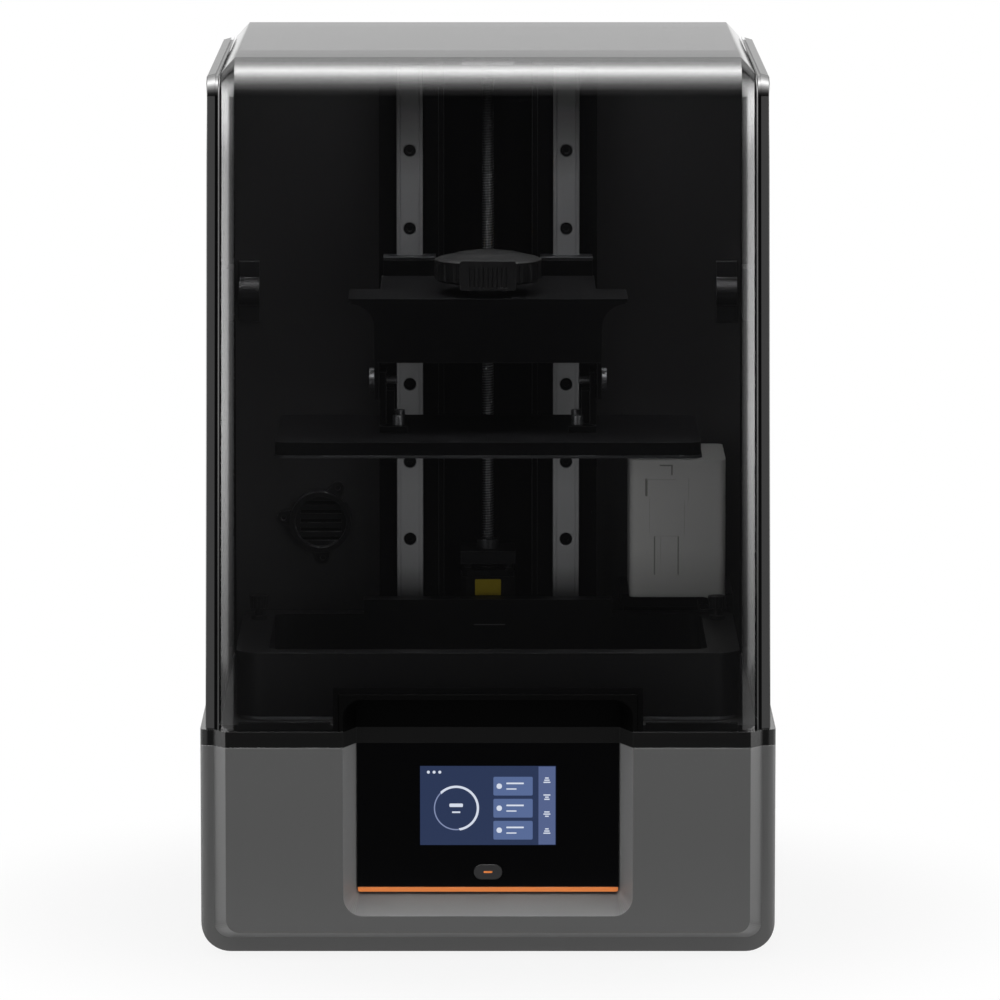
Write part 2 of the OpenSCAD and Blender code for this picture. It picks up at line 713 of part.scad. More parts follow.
module arm() color([0.13, 0.13, 0.135]) difference() {
  union() {
    // top flange, the body under it and the neck to the slide plate
    upright_box(-flange_x, flange_x, arm_y, arm_y + 70, arm_z - flange_t, arm_z, 3, 3);
    wide_box(flange_x - 1, arm_y, arm_y + 66, arm_z - 22, arm_z - 3);
    wide_box(arm_x, arm_y, arm_y + 76, arm_low, arm_z - 3);
    wide_box(slide_x, arm_y + 60, zplate_y, arm_z - flange_t, arm_z);
    wide_box(slide_x, arm_y + 70, zplate_y, arm_low, arm_z - 3);
    // ears that carry the plate
    pair() box(arm_x - arm_t, arm_x, bed_y - 26, bed_y + 26, side_z - 12, arm_low + 8);
  }
  // coves under the flange
  pair() cyl_y(arm_x + 18, arm_y - 1, arm_y + 80, arm_z - 22, 18);
  // open from below
  wide_box(arm_x - arm_t, arm_y + 4, arm_y + 72, side_z - 14, arm_z - 8);
  wide_box(70, arm_y + 78, zplate_y - 6, side_z, arm_z - 8);
  pair() cyl_x(arm_x - 5, arm_x + 1, bed_y, side_z, side_r + slip_gap);
  cyl_z(0, bed_y, arm_z - 20, arm_z + cut, clamp_r + run_gap);
}

// domed knob with scallops round its rim and a ribbed grip in front
module clamp_knob() color([0.19, 0.19, 0.2]) {
  dome = [[0, 0], [38, 0], [40, 2], [40, 16], [37, 17.5], [22, 21], [0, 24]];
  scallops = 24;
  grip_y = bed_y - 45.5;
  cyl_z(0, bed_y, arm_z - 12, knob_z + 1, clamp_r);
  cyl_z(0, bed_y, arm_z, knob_z + 1, 14);
  difference() {
    translate([0, bed_y, knob_z]) rotate_extrude() polygon(dome);
    for (k = [0:scallops - 1]) translate([0, bed_y, 0]) rotate([0, 0, (k + 0.5) * 360 / scallops])
      cyl_z(41.5, 0, knob_z - 1, knob_z + 14, 2.6);
  }
  difference() {
    front_box(-21, 21, grip_y, grip_y + 11.5, knob_z - 3, knob_z + 19, 2, 2);
    for (k = [-4:4]) wide_box(0.8, grip_y - 0.5, grip_y + 2, knob_z - 1, knob_z + 14, 3.4 * k);
  }
}

module plate_body() color([0.12, 0.12, 0.125]) difference() {
  upright_box(-plate_w / 2, plate_w / 2, bed_y - plate_d / 2, bed_y + plate_d / 2,
    plate_z + face_t, plate_z + plate_t, 9, 9);
  pair() for (y = [-level_y, level_y])
    cyl_z(level_x, bed_y + y, plate_z + face_t + 2, plate_z + plate_t + cut, level_r + slip_gap);
}
module plate_face() color([0.78, 0.79, 0.8]) {
  hx = plate_w / 2 + 0.8;
  hy = plate_d / 2 + 0.8;
  upright_box(-hx, hx, bed_y - hy, bed_y + hy, plate_z, plate_z + face_t, 9.8, 9.8);
}
// angle with two gussets that hangs the plate from the arm's ears
module plate_brackets() color([0.3, 0.3, 0.31]) {
  x0 = level_x - 7;
  x1 = arm_x - arm_t - 0.3;
  z0 = plate_z + plate_t;
  pair() difference() {
    union() {
      box(x0, x1, bed_y - 28, bed_y + 28, z0, z0 + 5);
      box(x1 - 5, x1, bed_y - 18, bed_y + 18, z0, side_z + 8);
      for (y = [-9, 9]) box(level_x + 3, x1, bed_y + y - 2, bed_y + y + 2, z0, z0 + 30);
    }
    cyl_x(x0, hw, bed_y, side_z, side_r + run_gap);
    for (y = [-level_y, level_y]) cyl_z(level_x, bed_y + y, z0 - 1, z0 + 20, level_r + slip_gap);
  }
}
module levelling_screws() color([0.75, 0.76, 0.77]) {
  head_z = plate_z + plate_t + 5;
  pair() for (y = [-level_y, level_y]) difference() {
    union() {
      cyl_z(level_x, bed_y + y, plate_z + 5, head_z + 1, level_r);
      cyl_z(level_x, bed_y + y, head_z, head_z + 7, 4.4);
    }
    hex_z(level_x, bed_y + y, head_z + 3, head_z + 8, 2.3);
  }
}
module side_screws() color([0.6, 0.61, 0.62]) {
  head_t = 4;
  pair() difference() {
    union() {
      cyl_x(level_x + 1, arm_x + 1, bed_y, side_z, side_r);
      cyl_x(arm_x, arm_x + head_t, bed_y, side_z, 9);
    }
    hex_x(arm_x + head_t - 2.5, arm_x + head_t + cut, bed_y, side_z, 3);
  }
}

// rounded box inside the vat's outline by d
module vat_box(d, z0, z1, r) {
  upright_box(-vat_w / 2 + d, vat_w / 2 - d, vat_y0 + d, vat_y1 - d, z0, z1, r, r);
}
module post_holes(z1) {
  pair() cyl_z(post_x, post_y, deck_z - cut, z1, post_r + slip_gap);
}
module vat_film() color([0.8, 0.85, 0.88, 0.4]) difference() {
  vat_box(6, deck_z, deck_z + film_t, 14);
  post_holes(deck_z + cut);
}
module film_ring() color([0.5, 0.51, 0.53]) difference() {
  vat_box(3, deck_z + film_t, vat_z, 17);
  box(-cav_x, cav_x, bed_y - cav_y, bed_y + cav_y, deck_z - cut, vat_z + cut);
  post_holes(vat_z + cut);
}
module vat_frame() color([0.11, 0.11, 0.115]) difference() {
  union() {
    vat_box(0, vat_z, vat_top, 20);
    // raised lip at the rear
    box(-95, 95, bed_y + cav_y, vat_y1, vat_z, vat_top + 11);
  }
  upright_box(-cav_x, cav_x, bed_y - cav_y, bed_y + cav_y, vat_z - cut, vat_top + 20, 10, 10);
  post_holes(vat_top + cut);
  // grip hollows under the side rims
  pair() box(vat_w / 2 - 8, vat_w / 2 + cut, bed_y - 48, bed_y + 22, vat_z + 6, vat_top - 10);
}
module vat_knob() {
  cap_z = vat_top + 9;
  flutes = 8;
  cyl_z(post_x, post_y, deck_z - 6, cap_z + 1, post_r);
  cyl_z(post_x, post_y, vat_top, vat_top + 3, 6);
  difference() {
    cyl_z(post_x, post_y, cap_z, cap_z + 9, 7);
    for (k = [0:flutes - 1]) translate([post_x, post_y, 0]) rotate([0, 0, k * 360 / flutes])
      cyl_z(7.6, 0, cap_z - 1, cap_z + 10, 1.4);
  }
}
module vat_knob_left() color([0.2, 0.2, 0.21]) mirror([1, 0, 0]) vat_knob();
module vat_knob_right() color([0.2, 0.2, 0.21]) vat_knob();

module feed_shelf() color([0.11, 0.11, 0.115]) {
  hx = box_w / 2 + 6.25;
  z0 = box_z - shelf_t;
  end_y = vat_y1 + 6;
  wide_box(hx, end_y, back_y, z0, box_z, box_x);
  // gussets to the back wall
  for (x = [-hx + 3, hx - 7]) translate([box_x + x + 2, 0, 0]) rotate([90, 0, 90])
    linear_extrude(4, center = true) polygon([[back_y - 50, z0], [back_y, z0], [back_y, z0 - 36]]);
  // channel that pours over the vat's rim
  difference() {
    box(cav_x - 2, cav_x + 14, bed_y + cav_y - 3, end_y + 1, spout_z, spout_z + 5.5);
    box(cav_x, cav_x + 12, bed_y + cav_y - 4, end_y, spout_z + 2, spout_z + 6.5);
  }
}
module feed_box() color([0.75, 0.76, 0.77]) {
  x0 = box_x - box_w / 2;
  x1 = box_x + box_w / 2;
  y1 = box_y0 + box_d;
  skirt_w = 20;
  skirt_h = 8;
  skirt_r = (skirt_w * skirt_w + skirt_h * skirt_h) / (2 * skirt_h);
  difference() {
    upright_box(x0, x1, box_y0, y1, box_z, box_z + box_h, 6, 6);
    upright_box(x0 + box_t, x1 - box_t, box_y0 + box_t, y1 - box_t,
      box_z + box_t, box_z + box_h - box_t, 4, 4);
    cyl_z(box_x, box_y0 + box_d / 2, box_z + box_h - 3, box_z + box_h + cut, 14);
  }
  // skirt that curves down in front of the shelf's outer end
  difference() {
    upright_box(x1 - skirt_w, x1, box_y0, vat_y1 + 5.6, box_z - skirt_h, box_z + cut, 6, 2);
    cyl_y(x1 - skirt_w, box_y0 - cut, vat_y1 + 6, box_z - skirt_r, skirt_r);
  }
}

// side view of the hood, pushed along X: a front wall and a roof joined by a roll
module hood_slab(x0, x1, yf, yr, z0, z1, r) {
  box(x0, x1, yf, yr, z0, z1 - r);
  box(x0, x1, yf + r, yr, z0, z1);
  cyl_x(x0, x1, yf + r, z1 - r, r);
}

// window with a bevel along each side, bent over the roll in one wall
bevel_slope = (bevel_x - window_x) / hood_set;
bevel_in = hood_t * tan(atan(1 / bevel_slope) / 2);
bevel_past = 4;
module hood_cover() color([0.05, 0.05, 0.06, 0.35]) difference() {
  hull() {
    hood_slab(-window_x, window_x, hood_y, hinge_y, deck_z, top_z, roll_r);
    hood_slab(-bevel_x, bevel_x, hood_y + hood_set, hinge_y, deck_z, top_z - hood_set, roll_r);
  }
  // the inner bevel runs parallel to the outer one and past its edge
  hull() {
    in_x = window_x - bevel_in;
    out_x = bevel_x + bevel_past * bevel_slope - bevel_in;
    deep = hood_t + hood_set + bevel_past;
    hood_slab(-in_x, in_x, hood_y + hood_t, hd, deck_z - cut, top_z - hood_t, roll_r - hood_t);
    hood_slab(-out_x, out_x, hood_y + deep, hd, deck_z - cut, top_z - deep, roll_r - hood_t);
  }
  wide_box(handle_x, hood_y - 1, hood_y + 8, deck_z - cut, deck_z + handle_h);
}

// side panel: roll as on the window, and an outside that leans in towards the top
module hood_side() {
  y = hood_y + hood_set;
  z = top_z - hood_set;
  difference() {
    hood_slab(bevel_x, hood_x, y, hinge_y, deck_z, z, roll_r);
    hood_slab(0, hood_xi, y + hood_t, hd, deck_z - cut, z - hood_t, roll_r - hood_t);
    rotate([90, 0, 0]) linear_extrude(body_d + 20, center = true) polygon([
      [hood_x, deck_z], [hood_x + 9, deck_z], [hood_x + 9, top_z], [hood_x - hood_lean, top_z]
    ]);
  }
}
module hood_side_left() color([0.12, 0.12, 0.125]) mirror([1, 0, 0]) hood_side();
module hood_side_right() color([0.12, 0.12, 0.125]) hood_side();

// filler in the window's cut-out, with a pocket for the fingers that carries on the console's funnel
module hood_handle() color([0.05, 0.05, 0.05]) difference() {
  inner_y = hood_y + hood_t;
  union() {
    wide_box(handle_x - 0.3, -hd + 0.5, inner_y, deck_z, deck_z + handle_h - 0.3);
    wide_box(handle_x + 4, inner_y, inner_y + 3, deck_z, deck_z + handle_h + 4);
    wide_box(recess_hw + 10, inner_y, glass_y + 4, deck_z, deck_z + handle_h - 2);
  }
  hull() {
    front_box(-recess_front, recess_front, -hd - 2, -hd - 1, deck_z - 20, deck_z + 23.8, 0, 14);
    front_box(-recess_hw, recess_hw, glass_y - 0.5, glass_y, deck_z - 20, deck_z + 22.3, 0, 9);
  }
}

// strips round the hood's lower edge
module hood_seal() color([0.04, 0.04, 0.04]) {
  seal_t = 3;
  seal_h = 6;
  pair() {
    box(hood_xi - seal_t, hood_xi, hood_y + 20, hinge_y, deck_z, deck_z + seal_h);
    box(handle_x + 6, window_x - 2, hood_y + hood_t, hood_y + hood_t + seal_t, deck_z, deck_z + seal_h);
  }
}

// hinge arm on the hood's side, with its pin and four flush socket screws
module hinge_arms() color([0.45, 0.46, 0.47]) {
  x0 = back_x + 1.2;
  pair() difference() {
    union() {
      box(x0, hood_xi, hinge_y - 50, hinge_y - 7, hinge_z - 20, hinge_z + 20);
      box(x0, hood_xi, hinge_y - 8, hinge_y, hinge_z - 10, hinge_z + 10);
      cyl_x(x0, hood_xi, hinge_y, hinge_z, 10);
      cyl_x(block_x0 + 3, back_x + 2, hinge_y, hinge_z, pin_r);
    }
    for (y = [-42, -16], z = [-12, 12]) {
      difference() {
        cyl_x(x0 - cut, x0 + 0.6, hinge_y + y, hinge_z + z, 4.4);
        cyl_x(x0 - cut, x0 + 0.6, hinge_y + y, hinge_z + z, 3.8);
      }
      hex_x(x0 - cut, x0 + 2, hinge_y + y, hinge_z + z, 2.2);
    }
  }
}

base_shell();
bottom_plate();
feet();
console_glass();
accent_strip();
display();
power_button();
button_switch();
mainboard();
power_supply();
light_housing();
light_array();
lens();
inlet();
switch_frame();
switch_rocker();
fan_frame();
fan_rotor();
data_port();
trim_band();
deck_plate();
mask_screen();
back_housing();
back_cover();
back_screws();
hinge_blocks();
air_port();
column();
rail_left();
rail_right();
rail_screws();
z_motor();
screw_bearings();
motor_plate();
lead_screw();
carriage_left();
carriage_right();
lead_nut();
slide_plate();
arm();
clamp_knob();
plate_body();
plate_face();
plate_brackets();
levelling_screws();
side_screws();
vat_film();
film_ring();
vat_frame();
vat_knob_left();
vat_knob_right();
feed_shelf();
feed_box();
hood_cover();
hood_side_left();
hood_side_right();
hood_handle();
hood_seal();
hinge_arms();
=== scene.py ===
# %% [markdown]
# # Dressing a resin printer
# The solids of the printer are already made and packed, so this script loads them as a fixed frame.
# It gives every piece its finish, models the fine pieces that solids leave out, and lights the whole.
# Everything is in metres: X to the right, Y to the rear, Z up, with the printer's front at low Y.

# %% Load the frame
import math

import bmesh
import bpy
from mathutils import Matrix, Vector


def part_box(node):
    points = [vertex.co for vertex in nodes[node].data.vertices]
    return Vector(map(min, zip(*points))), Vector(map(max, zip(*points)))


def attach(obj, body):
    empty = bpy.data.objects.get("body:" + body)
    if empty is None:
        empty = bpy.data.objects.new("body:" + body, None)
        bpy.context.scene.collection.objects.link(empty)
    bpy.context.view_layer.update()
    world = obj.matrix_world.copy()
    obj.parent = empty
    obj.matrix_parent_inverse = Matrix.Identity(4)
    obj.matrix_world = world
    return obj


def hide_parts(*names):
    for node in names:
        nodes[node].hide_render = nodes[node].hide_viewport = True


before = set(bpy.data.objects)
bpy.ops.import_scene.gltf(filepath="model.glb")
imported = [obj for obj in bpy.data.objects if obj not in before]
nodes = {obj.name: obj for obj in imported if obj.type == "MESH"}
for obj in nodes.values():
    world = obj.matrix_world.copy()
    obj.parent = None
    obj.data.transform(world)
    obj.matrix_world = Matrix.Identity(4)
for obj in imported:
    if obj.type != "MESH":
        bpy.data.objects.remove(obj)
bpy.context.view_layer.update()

# %% [markdown]
# ## The camera
# A product picture is taken from far away with a long lens, so that upright edges stay upright.
# The camera stands 5.6 m in front of the printer, about 1.1 m up, and looks down by a few degrees.
# A small shift of the lens moves the picture sideways, so the camera still faces the printer squarely.

# %% Camera
CAMERA_PLACE = (0, -5.8142, 1.0948)
CAMERA_DIP = 7.649  # degrees below the horizon
camera_data = bpy.data.cameras.new("camera")
camera_data.sensor_width = 36
camera_data.lens = 278.76
camera_data.shift_x = 0.012
camera = bpy.data.objects.new("camera", camera_data)
camera.location = CAMERA_PLACE
camera.rotation_euler = (math.radians(90 - CAMERA_DIP), 0, 0)
bpy.context.scene.collection.objects.link(camera)
bpy.context.scene.camera = camera
bpy.context.scene.view_settings.view_transform = "Standard"
print("lens", camera_data.lens, "at", tuple(round(v, 3) for v in camera.location))

# %% [markdown]
# ## Nodes in a few words
# A finish is a small graph of shader nodes. These helpers add a node with its values, join two sockets,
# work out a sum and move a value from one range to another, so that each finish below reads as a short
# recipe instead of a page of links.


# %% Nodes, links and sums
def add_node(tree, kind, **values):
    """A shader node; a value whose name is an input goes to that socket, any other is a setting."""
    node = tree.nodes.new("ShaderNode" + kind)
    for name, value in values.items():
        socket = name.replace("_", " ")
        if socket in node.inputs:
            node.inputs[socket].default_value = value
        else:
            setattr(node, name, value)
    return node


def join(tree, source, output, target, socket):
    """A link from a node's output to another node's socket."""
    tree.links.new(source.outputs[output], target.inputs[socket])


def work_out(tree, operation, *terms):
    """A maths node; each term is a number or a (node, output) pair."""
    node = add_node(tree, "Math", operation=operation)
    for socket, term in enumerate(terms):
        if isinstance(term, tuple):
            join(tree, *term, node, socket)
        else:
            node.inputs[socket].default_value = term
    return node


def remap(tree, source, output, low, high, to_low=0.0, to_high=1.0, soft=False):
    """Moves a value from the range low to high into the range to_low to to_high."""
    node = add_node(tree, "MapRange", From_Min=low, From_Max=high, To_Min=to_low, To_Max=to_high)
    if soft:
        node.interpolation_type = "SMOOTHSTEP"
    join(tree, source, output, node, "Value")
    return node


print("node helpers ready")

# %% [markdown]
# Greys that change from place to place come from a colour ramp with a few steps, and colours are
# written as on the web. A material starts with one shader, whose even values are set on its sockets.


# %% Greys, colours and the start of a finish
def grey_ramp(tree, source, output, steps):
    """Greys along a value from 0 to 1, given as (place, grey) steps."""
    ramp = add_node(tree, "ValToRGB")
    marks = ramp.color_ramp.elements
    while len(marks) < len(steps):
        marks.new(0.5)
    for mark, (place, grey) in zip(marks, steps):
        mark.position = place
        mark.color = (grey, grey, grey, 1)
    join(tree, source, output, ramp, "Fac")
    return ramp


def linear(code):
    """A colour code, such as 4f4f4f, as the linear numbers that shaders take."""
    srgb = [int(code[i : i + 2], 16) / 255 for i in (0, 2, 4)]
    return (*[c / 12.92 if c <= 0.04045 else ((c + 0.055) / 1.055) ** 2.4 for c in srgb], 1)


def start_finish(name, **fixed):
    """A material with its principled shader, whose named sockets are set straight away."""
    material = bpy.data.materials.new(name)
    material.use_nodes = True
    shader = material.node_tree.nodes["Principled BSDF"]
    for socket, value in fixed.items():
        shader.inputs[socket.replace("_", " ")].default_value = value
    return material, material.node_tree, shader


print("mid grey in linear numbers:", [round(v, 3) for v in linear("808080")])

# %% [markdown]
# ## The studio
# A glossy black hood shows mostly what stands round it, so the studio decides how it looks.
# The world is an even white for the camera and for see-through pieces, and a soft grey for fill light.
# What gloss shows grows dark towards the front of the room, as behind a camera, which keeps the hood's
# face black.

# %% World
WHITE = (1, 1, 1, 1)
FILL = 0.24
# what gloss shows, from the front of the room at 0 to the rear at 1
ROOM_STEPS = ((0.0, 0.02), (0.025, 0.12), (0.06, 1.0), (0.24, 1.0), (0.5, 1.0))
world = bpy.data.worlds.new("studio")
bpy.context.scene.world = world
world.use_nodes = True
tree = world.node_tree
tree.nodes.clear()
ray = add_node(tree, "LightPath")
place = add_node(tree, "TexCoord")
split = add_node(tree, "SeparateXYZ")
join(tree, place, "Generated", split, "Vector")
depth = remap(tree, split, "Y", -1.0, 1.0)
room = grey_ramp(tree, depth, "Result", ROOM_STEPS)
sees_white = work_out(tree, "MAXIMUM", (ray, "Is Camera Ray"), (ray, "Is Transmission Ray"))
fill_or_room = add_node(tree, "MixRGB", Color1=(FILL, FILL, FILL, 1))
join(tree, ray, "Is Glossy Ray", fill_or_room, "Fac")
join(tree, room, "Color", fill_or_room, "Color2")
shown = add_node(tree, "MixRGB", Color2=WHITE)
join(tree, sees_white, "Value", shown, "Fac")
join(tree, fill_or_room, "Color", shown, "Color1")
background = add_node(tree, "Background")
join(tree, shown, "Color", background, "Color")
out = add_node(tree, "OutputWorld")
join(tree, background, "Background", out, "Surface")
print("world nodes:", len(tree.nodes))

# %% [markdown]
# ## Working with operators
# An operator acts on what is selected, as a mouse click does. So everything is laid aside before a new
# piece is added, and a piece's place is written into its mesh, which leaves the object at the origin.


# %% Small steps with operators
def lay_aside():
    """Deselects every object."""
    bpy.ops.object.select_all(action="DESELECT")


def take_up(piece):
    """Selects one object alone and makes it the active one."""
    lay_aside()
    piece.select_set(True)
    bpy.context.view_layer.objects.active = piece


def apply_place():
    """Writes the selected object's place, turn and scale into its mesh."""
    bpy.ops.object.transform_apply(location=True, rotation=True, scale=True)


def edit_mode():
    bpy.ops.object.mode_set(mode="EDIT")


def object_mode():
    bpy.ops.object.mode_set(mode="OBJECT")


def pick_all():
    """In edit mode, selects the whole mesh."""
    bpy.ops.mesh.select_all(action="SELECT")


print("operator helpers ready")

# %% [markdown]
# ## The floor and the lights
# The floor is a pale sheet that starts just in front of the printer, as a sweep of paper does.
# Near the printer an eighth of it is matt paper, which takes a faint shadow. Further out it all glows
# as white as the background, so that no edge shows between the two.

# %% Floor
FLOOR_HALF = 1.6
FLOOR_FRONT = -0.42
FLOOR_DROP = 0.0005  # just under the feet, so that no faces touch
GLOW_NEAR = 0.88
FADE_START, FADE_END = 0.22, 0.5
lay_aside()
floor_middle = (0, FLOOR_HALF + FLOOR_FRONT, -FLOOR_DROP)
bpy.ops.mesh.primitive_plane_add(size=2 * FLOOR_HALF, location=floor_middle)
floor = bpy.context.object
floor.name = "floor"
apply_place()
material, tree, shader = start_finish("floor_paper", Roughness=0.9, Specular_IOR_Level=0.1)
place = add_node(tree, "TexCoord")
length = add_node(tree, "VectorMath", operation="LENGTH")
join(tree, place, "Object", length, 0)
fade = remap(tree, length, "Value", FADE_START, FADE_END, GLOW_NEAR, soft=True)
grain = add_node(tree, "TexNoise", Scale=260.0, Detail=4.0)
join(tree, place, "Object", grain, "Vector")
paper = add_node(tree, "MixRGB", Color1=linear("ececec"), Color2=linear("f6f6f6"))
join(tree, grain, "Fac", paper, "Fac")
join(tree, paper, "Color", shader, "Base Color")
glow = add_node(tree, "Emission", Color=WHITE, Strength=1.0)
ray = add_node(tree, "LightPath")
seen = work_out(tree, "MAXIMUM", (ray, "Is Camera Ray"), (ray, "Is Glossy Ray"))
seen_too = work_out(tree, "MAXIMUM", (seen, "Value"), (ray, "Is Transmission Ray"))
amount = work_out(tree, "MULTIPLY", (fade, "Result"), (seen_too, "Value"))
mix = add_node(tree, "MixShader")
join(tree, amount, "Value", mix, "Fac")
join(tree, shader, "BSDF", mix, 1)
join(tree, glow, "Emission", mix, 2)
join(tree, mix, "Shader", tree.nodes["Material Output"], "Surface")
floor.data.materials.append(material)
print("floor:", tuple(round(v, 2) for v in floor.dimensions))

# %% [markdown]
# Two soft lamps stand low in front, to the left and the right, and a weak one hangs above.
# Gloss needs something to mirror: an arch of light over the printer draws the bright band along the
# hood's roll, and a tall card on each side draws the pale lines down its bevels. Gloss alone sees them,
# so they add no light to matt pieces and show in no picture.


# %% Lamps
LAMP_AIM = (0, 0, 0.3)


def soft_lamp(name, place, size, power):
    """A square area lamp that faces the printer, and that gloss does not mirror."""
    data = bpy.data.lights.new(name, "AREA")
    data.size = size
    data.energy = power
    lamp = bpy.data.objects.new(name, data)
    lamp.location = place
    lamp.rotation_euler = (Vector(LAMP_AIM) - Vector(place)).to_track_quat("-Z", "Y").to_euler()
    lamp.visible_glossy = False
    bpy.context.scene.collection.objects.link(lamp)
    return lamp


soft_lamp("lamp_left", (-1.2, -3.2, 0.4), size=1.5, power=26)
soft_lamp("lamp_right", (1.2, -3.2, 0.4), size=1.5, power=26)
soft_lamp("lamp_top", (0, 0.3, 3.0), size=2.0, power=2)

# %% [markdown]
# A card is a thin sheet that glows. Its brightness follows a few steps along one of its directions,
# drawn with a colour ramp, and where a card would end in a hard edge it fades out into clear.


# %% Cards for gloss
def level_along(tree, source, output, steps, peak):
    """The brightness at a place from 0 to 1, given as (place, share of the peak) steps."""
    ramp = grey_ramp(tree, source, output, steps)
    return work_out(tree, "MULTIPLY", (ramp, "Color"), peak)


def card_surface(card, level_from, edge_axis, fade_start, fade_end):
    """A card's glow; level_from(tree, split) gives its brightness, and it fades out along an axis."""
    material = bpy.data.materials.new(card.name)
    material.use_nodes = True
    tree = material.node_tree
    tree.nodes.clear()
    place = add_node(tree, "TexCoord")
    split = add_node(tree, "SeparateXYZ")
    join(tree, place, "Object", split, "Vector")
    away = work_out(tree, "ABSOLUTE", (split, edge_axis))
    fade = remap(tree, away, "Value", fade_end, fade_start, soft=True)
    light = add_node(tree, "Emission", Color=WHITE)
    join(tree, level_from(tree, split), "Value", light, "Strength")
    clear = add_node(tree, "BsdfTransparent")
    mix = add_node(tree, "MixShader")
    join(tree, fade, "Result", mix, "Fac")
    join(tree, clear, "BSDF", mix, 1)
    join(tree, light, "Emission", mix, 2)
    out = add_node(tree, "OutputMaterial")
    join(tree, mix, "Shader", out, "Surface")
    card.data.materials.append(material)
    card.visible_camera = card.visible_diffuse = card.visible_transmission = card.visible_shadow = False


print("card helpers ready")

# %% [markdown]
# The arch is the upper half of a wide tube that lies along X over the printer. It comes from a cylinder
# that is cut in half, and its light is strongest almost overhead, where the hood's roll mirrors it.

# %% Arch of light
ARCH_RADIUS, ARCH_LENGTH = 1.6, 4.4
ARCH_Y, ARCH_Z = -0.17, 0.64
ARCH_FADE_START, ARCH_FADE_END = 1.2, 1.9
ARCH_PEAK = 22.0
# brightness by the angle over the front horizon, as a share of half a turn
ARCH_STEPS = (
    (0.0, 0.0), (0.1, 0.016), (0.2, 0.1), (0.32, 0.34), (0.46, 1.0), (0.6, 0.33),
    (0.72, 0.125), (0.9, 0.029), (0.915, 0.027), (0.926, 0.016), (0.937, 0.036), (0.955, 0.029),
)


def arch_level(tree, split):
    """The arch's brightness, from the angle of a place round the arch's middle line."""
    forward = work_out(tree, "SUBTRACT", ARCH_Y, (split, "Y"))
    upward = work_out(tree, "SUBTRACT", (split, "Z"), ARCH_Z)
    angle = work_out(tree, "ARCTAN2", (upward, "Value"), (forward, "Value"))
    share = work_out(tree, "DIVIDE", (angle, "Value"), math.pi)
    return level_along(tree, share, "Value", ARCH_STEPS, ARCH_PEAK)


lay_aside()
bpy.ops.mesh.primitive_cylinder_add(
    vertices=128, radius=ARCH_RADIUS, depth=ARCH_LENGTH, end_fill_type="NOTHING",
    location=(0, ARCH_Y, ARCH_Z), rotation=(0, math.pi / 2, 0),
)
arch = bpy.context.object
arch.name = "card_arch"
apply_place()
edit_mode()
bpy.ops.mesh.bisect(plane_co=(0, 0, ARCH_Z), plane_no=(0, 0, 1), clear_inner=True)
object_mode()
card_surface(arch, arch_level, "X", ARCH_FADE_START, ARCH_FADE_END)
print("arch:", len(arch.data.polygons), "faces")

# %% [markdown]
# A side card is a plane on edge. Two ramps are multiplied for it: one by depth, dim in front of the
# hood's bevels, and one by height, brightest where the bevels are palest.

# %% Side cards
SIDE_CARD_X, SIDE_FRONT, SIDE_REAR, SIDE_LOW, SIDE_TOP = 1.6, -0.5, 0.9, -0.1, 2.3
SIDE_PEAK = 10.0
DEPTH_STEPS = ((0.0, 0.0), (0.16, 0.17), (0.25, 0.2), (0.36, 1.0), (0.75, 1.0), (1.0, 0.0))
HEIGHT_STEPS = (
    (0.0, 0.2), (0.06, 0.28), (0.14, 0.73), (0.245, 0.68), (0.26, 1.4),
    (0.33, 1.35), (0.45, 0.75), (0.57, 0.21), (0.66, 0.09), (1.0, 0.0),
)


def side_level(tree, split):
    """A side card's brightness: its level by depth times its level by height."""
    depth = remap(tree, split, "Y", SIDE_FRONT, SIDE_REAR)
    height = remap(tree, split, "Z", SIDE_LOW, SIDE_TOP)
    by_depth = level_along(tree, depth, "Result", DEPTH_STEPS, SIDE_PEAK)
    by_height = level_along(tree, height, "Result", HEIGHT_STEPS, 1.0)
    return work_out(tree, "MULTIPLY", (by_depth, "Value"), (by_height, "Value"))


for side, name in ((-1, "card_left"), (1, "card_right")):
    lay_aside()
    middle = (side * SIDE_CARD_X, (SIDE_FRONT + SIDE_REAR) / 2, (SIDE_LOW + SIDE_TOP) / 2)
    bpy.ops.mesh.primitive_plane_add(size=1, location=middle, rotation=(0, math.pi / 2, 0))
    card = bpy.context.object
    card.name = name
    card.scale = (SIDE_TOP - SIDE_LOW, SIDE_REAR - SIDE_FRONT, 1)
    apply_place()
    # its own steps end dark, so its fade starts only past its top
    card_surface(card, side_level, "Z", SIDE_TOP, SIDE_TOP + 1)

# %% [markdown]
# ## Finishes
# Every finish starts from the same three effects, at sizes that suit the material.
# A wide, faint cloud shifts the colour, a finer one shifts the roughness, and the same fine one lifts
# the surface a little. A bevel node rounds the sharp edges of the solids for the light, and the
# difference it makes marks the rims, where real pieces are a little paler from wear.


# %% A surface with grain, clouding and worn rims
ROUGH_SWING = 0.06
BUMP_DEPTH = 0.0004
RIM_START, RIM_FULL = 0.995, 0.93  # cosine between the rounded and the flat surface
WORN = (0.6, 0.6, 0.6, 1)


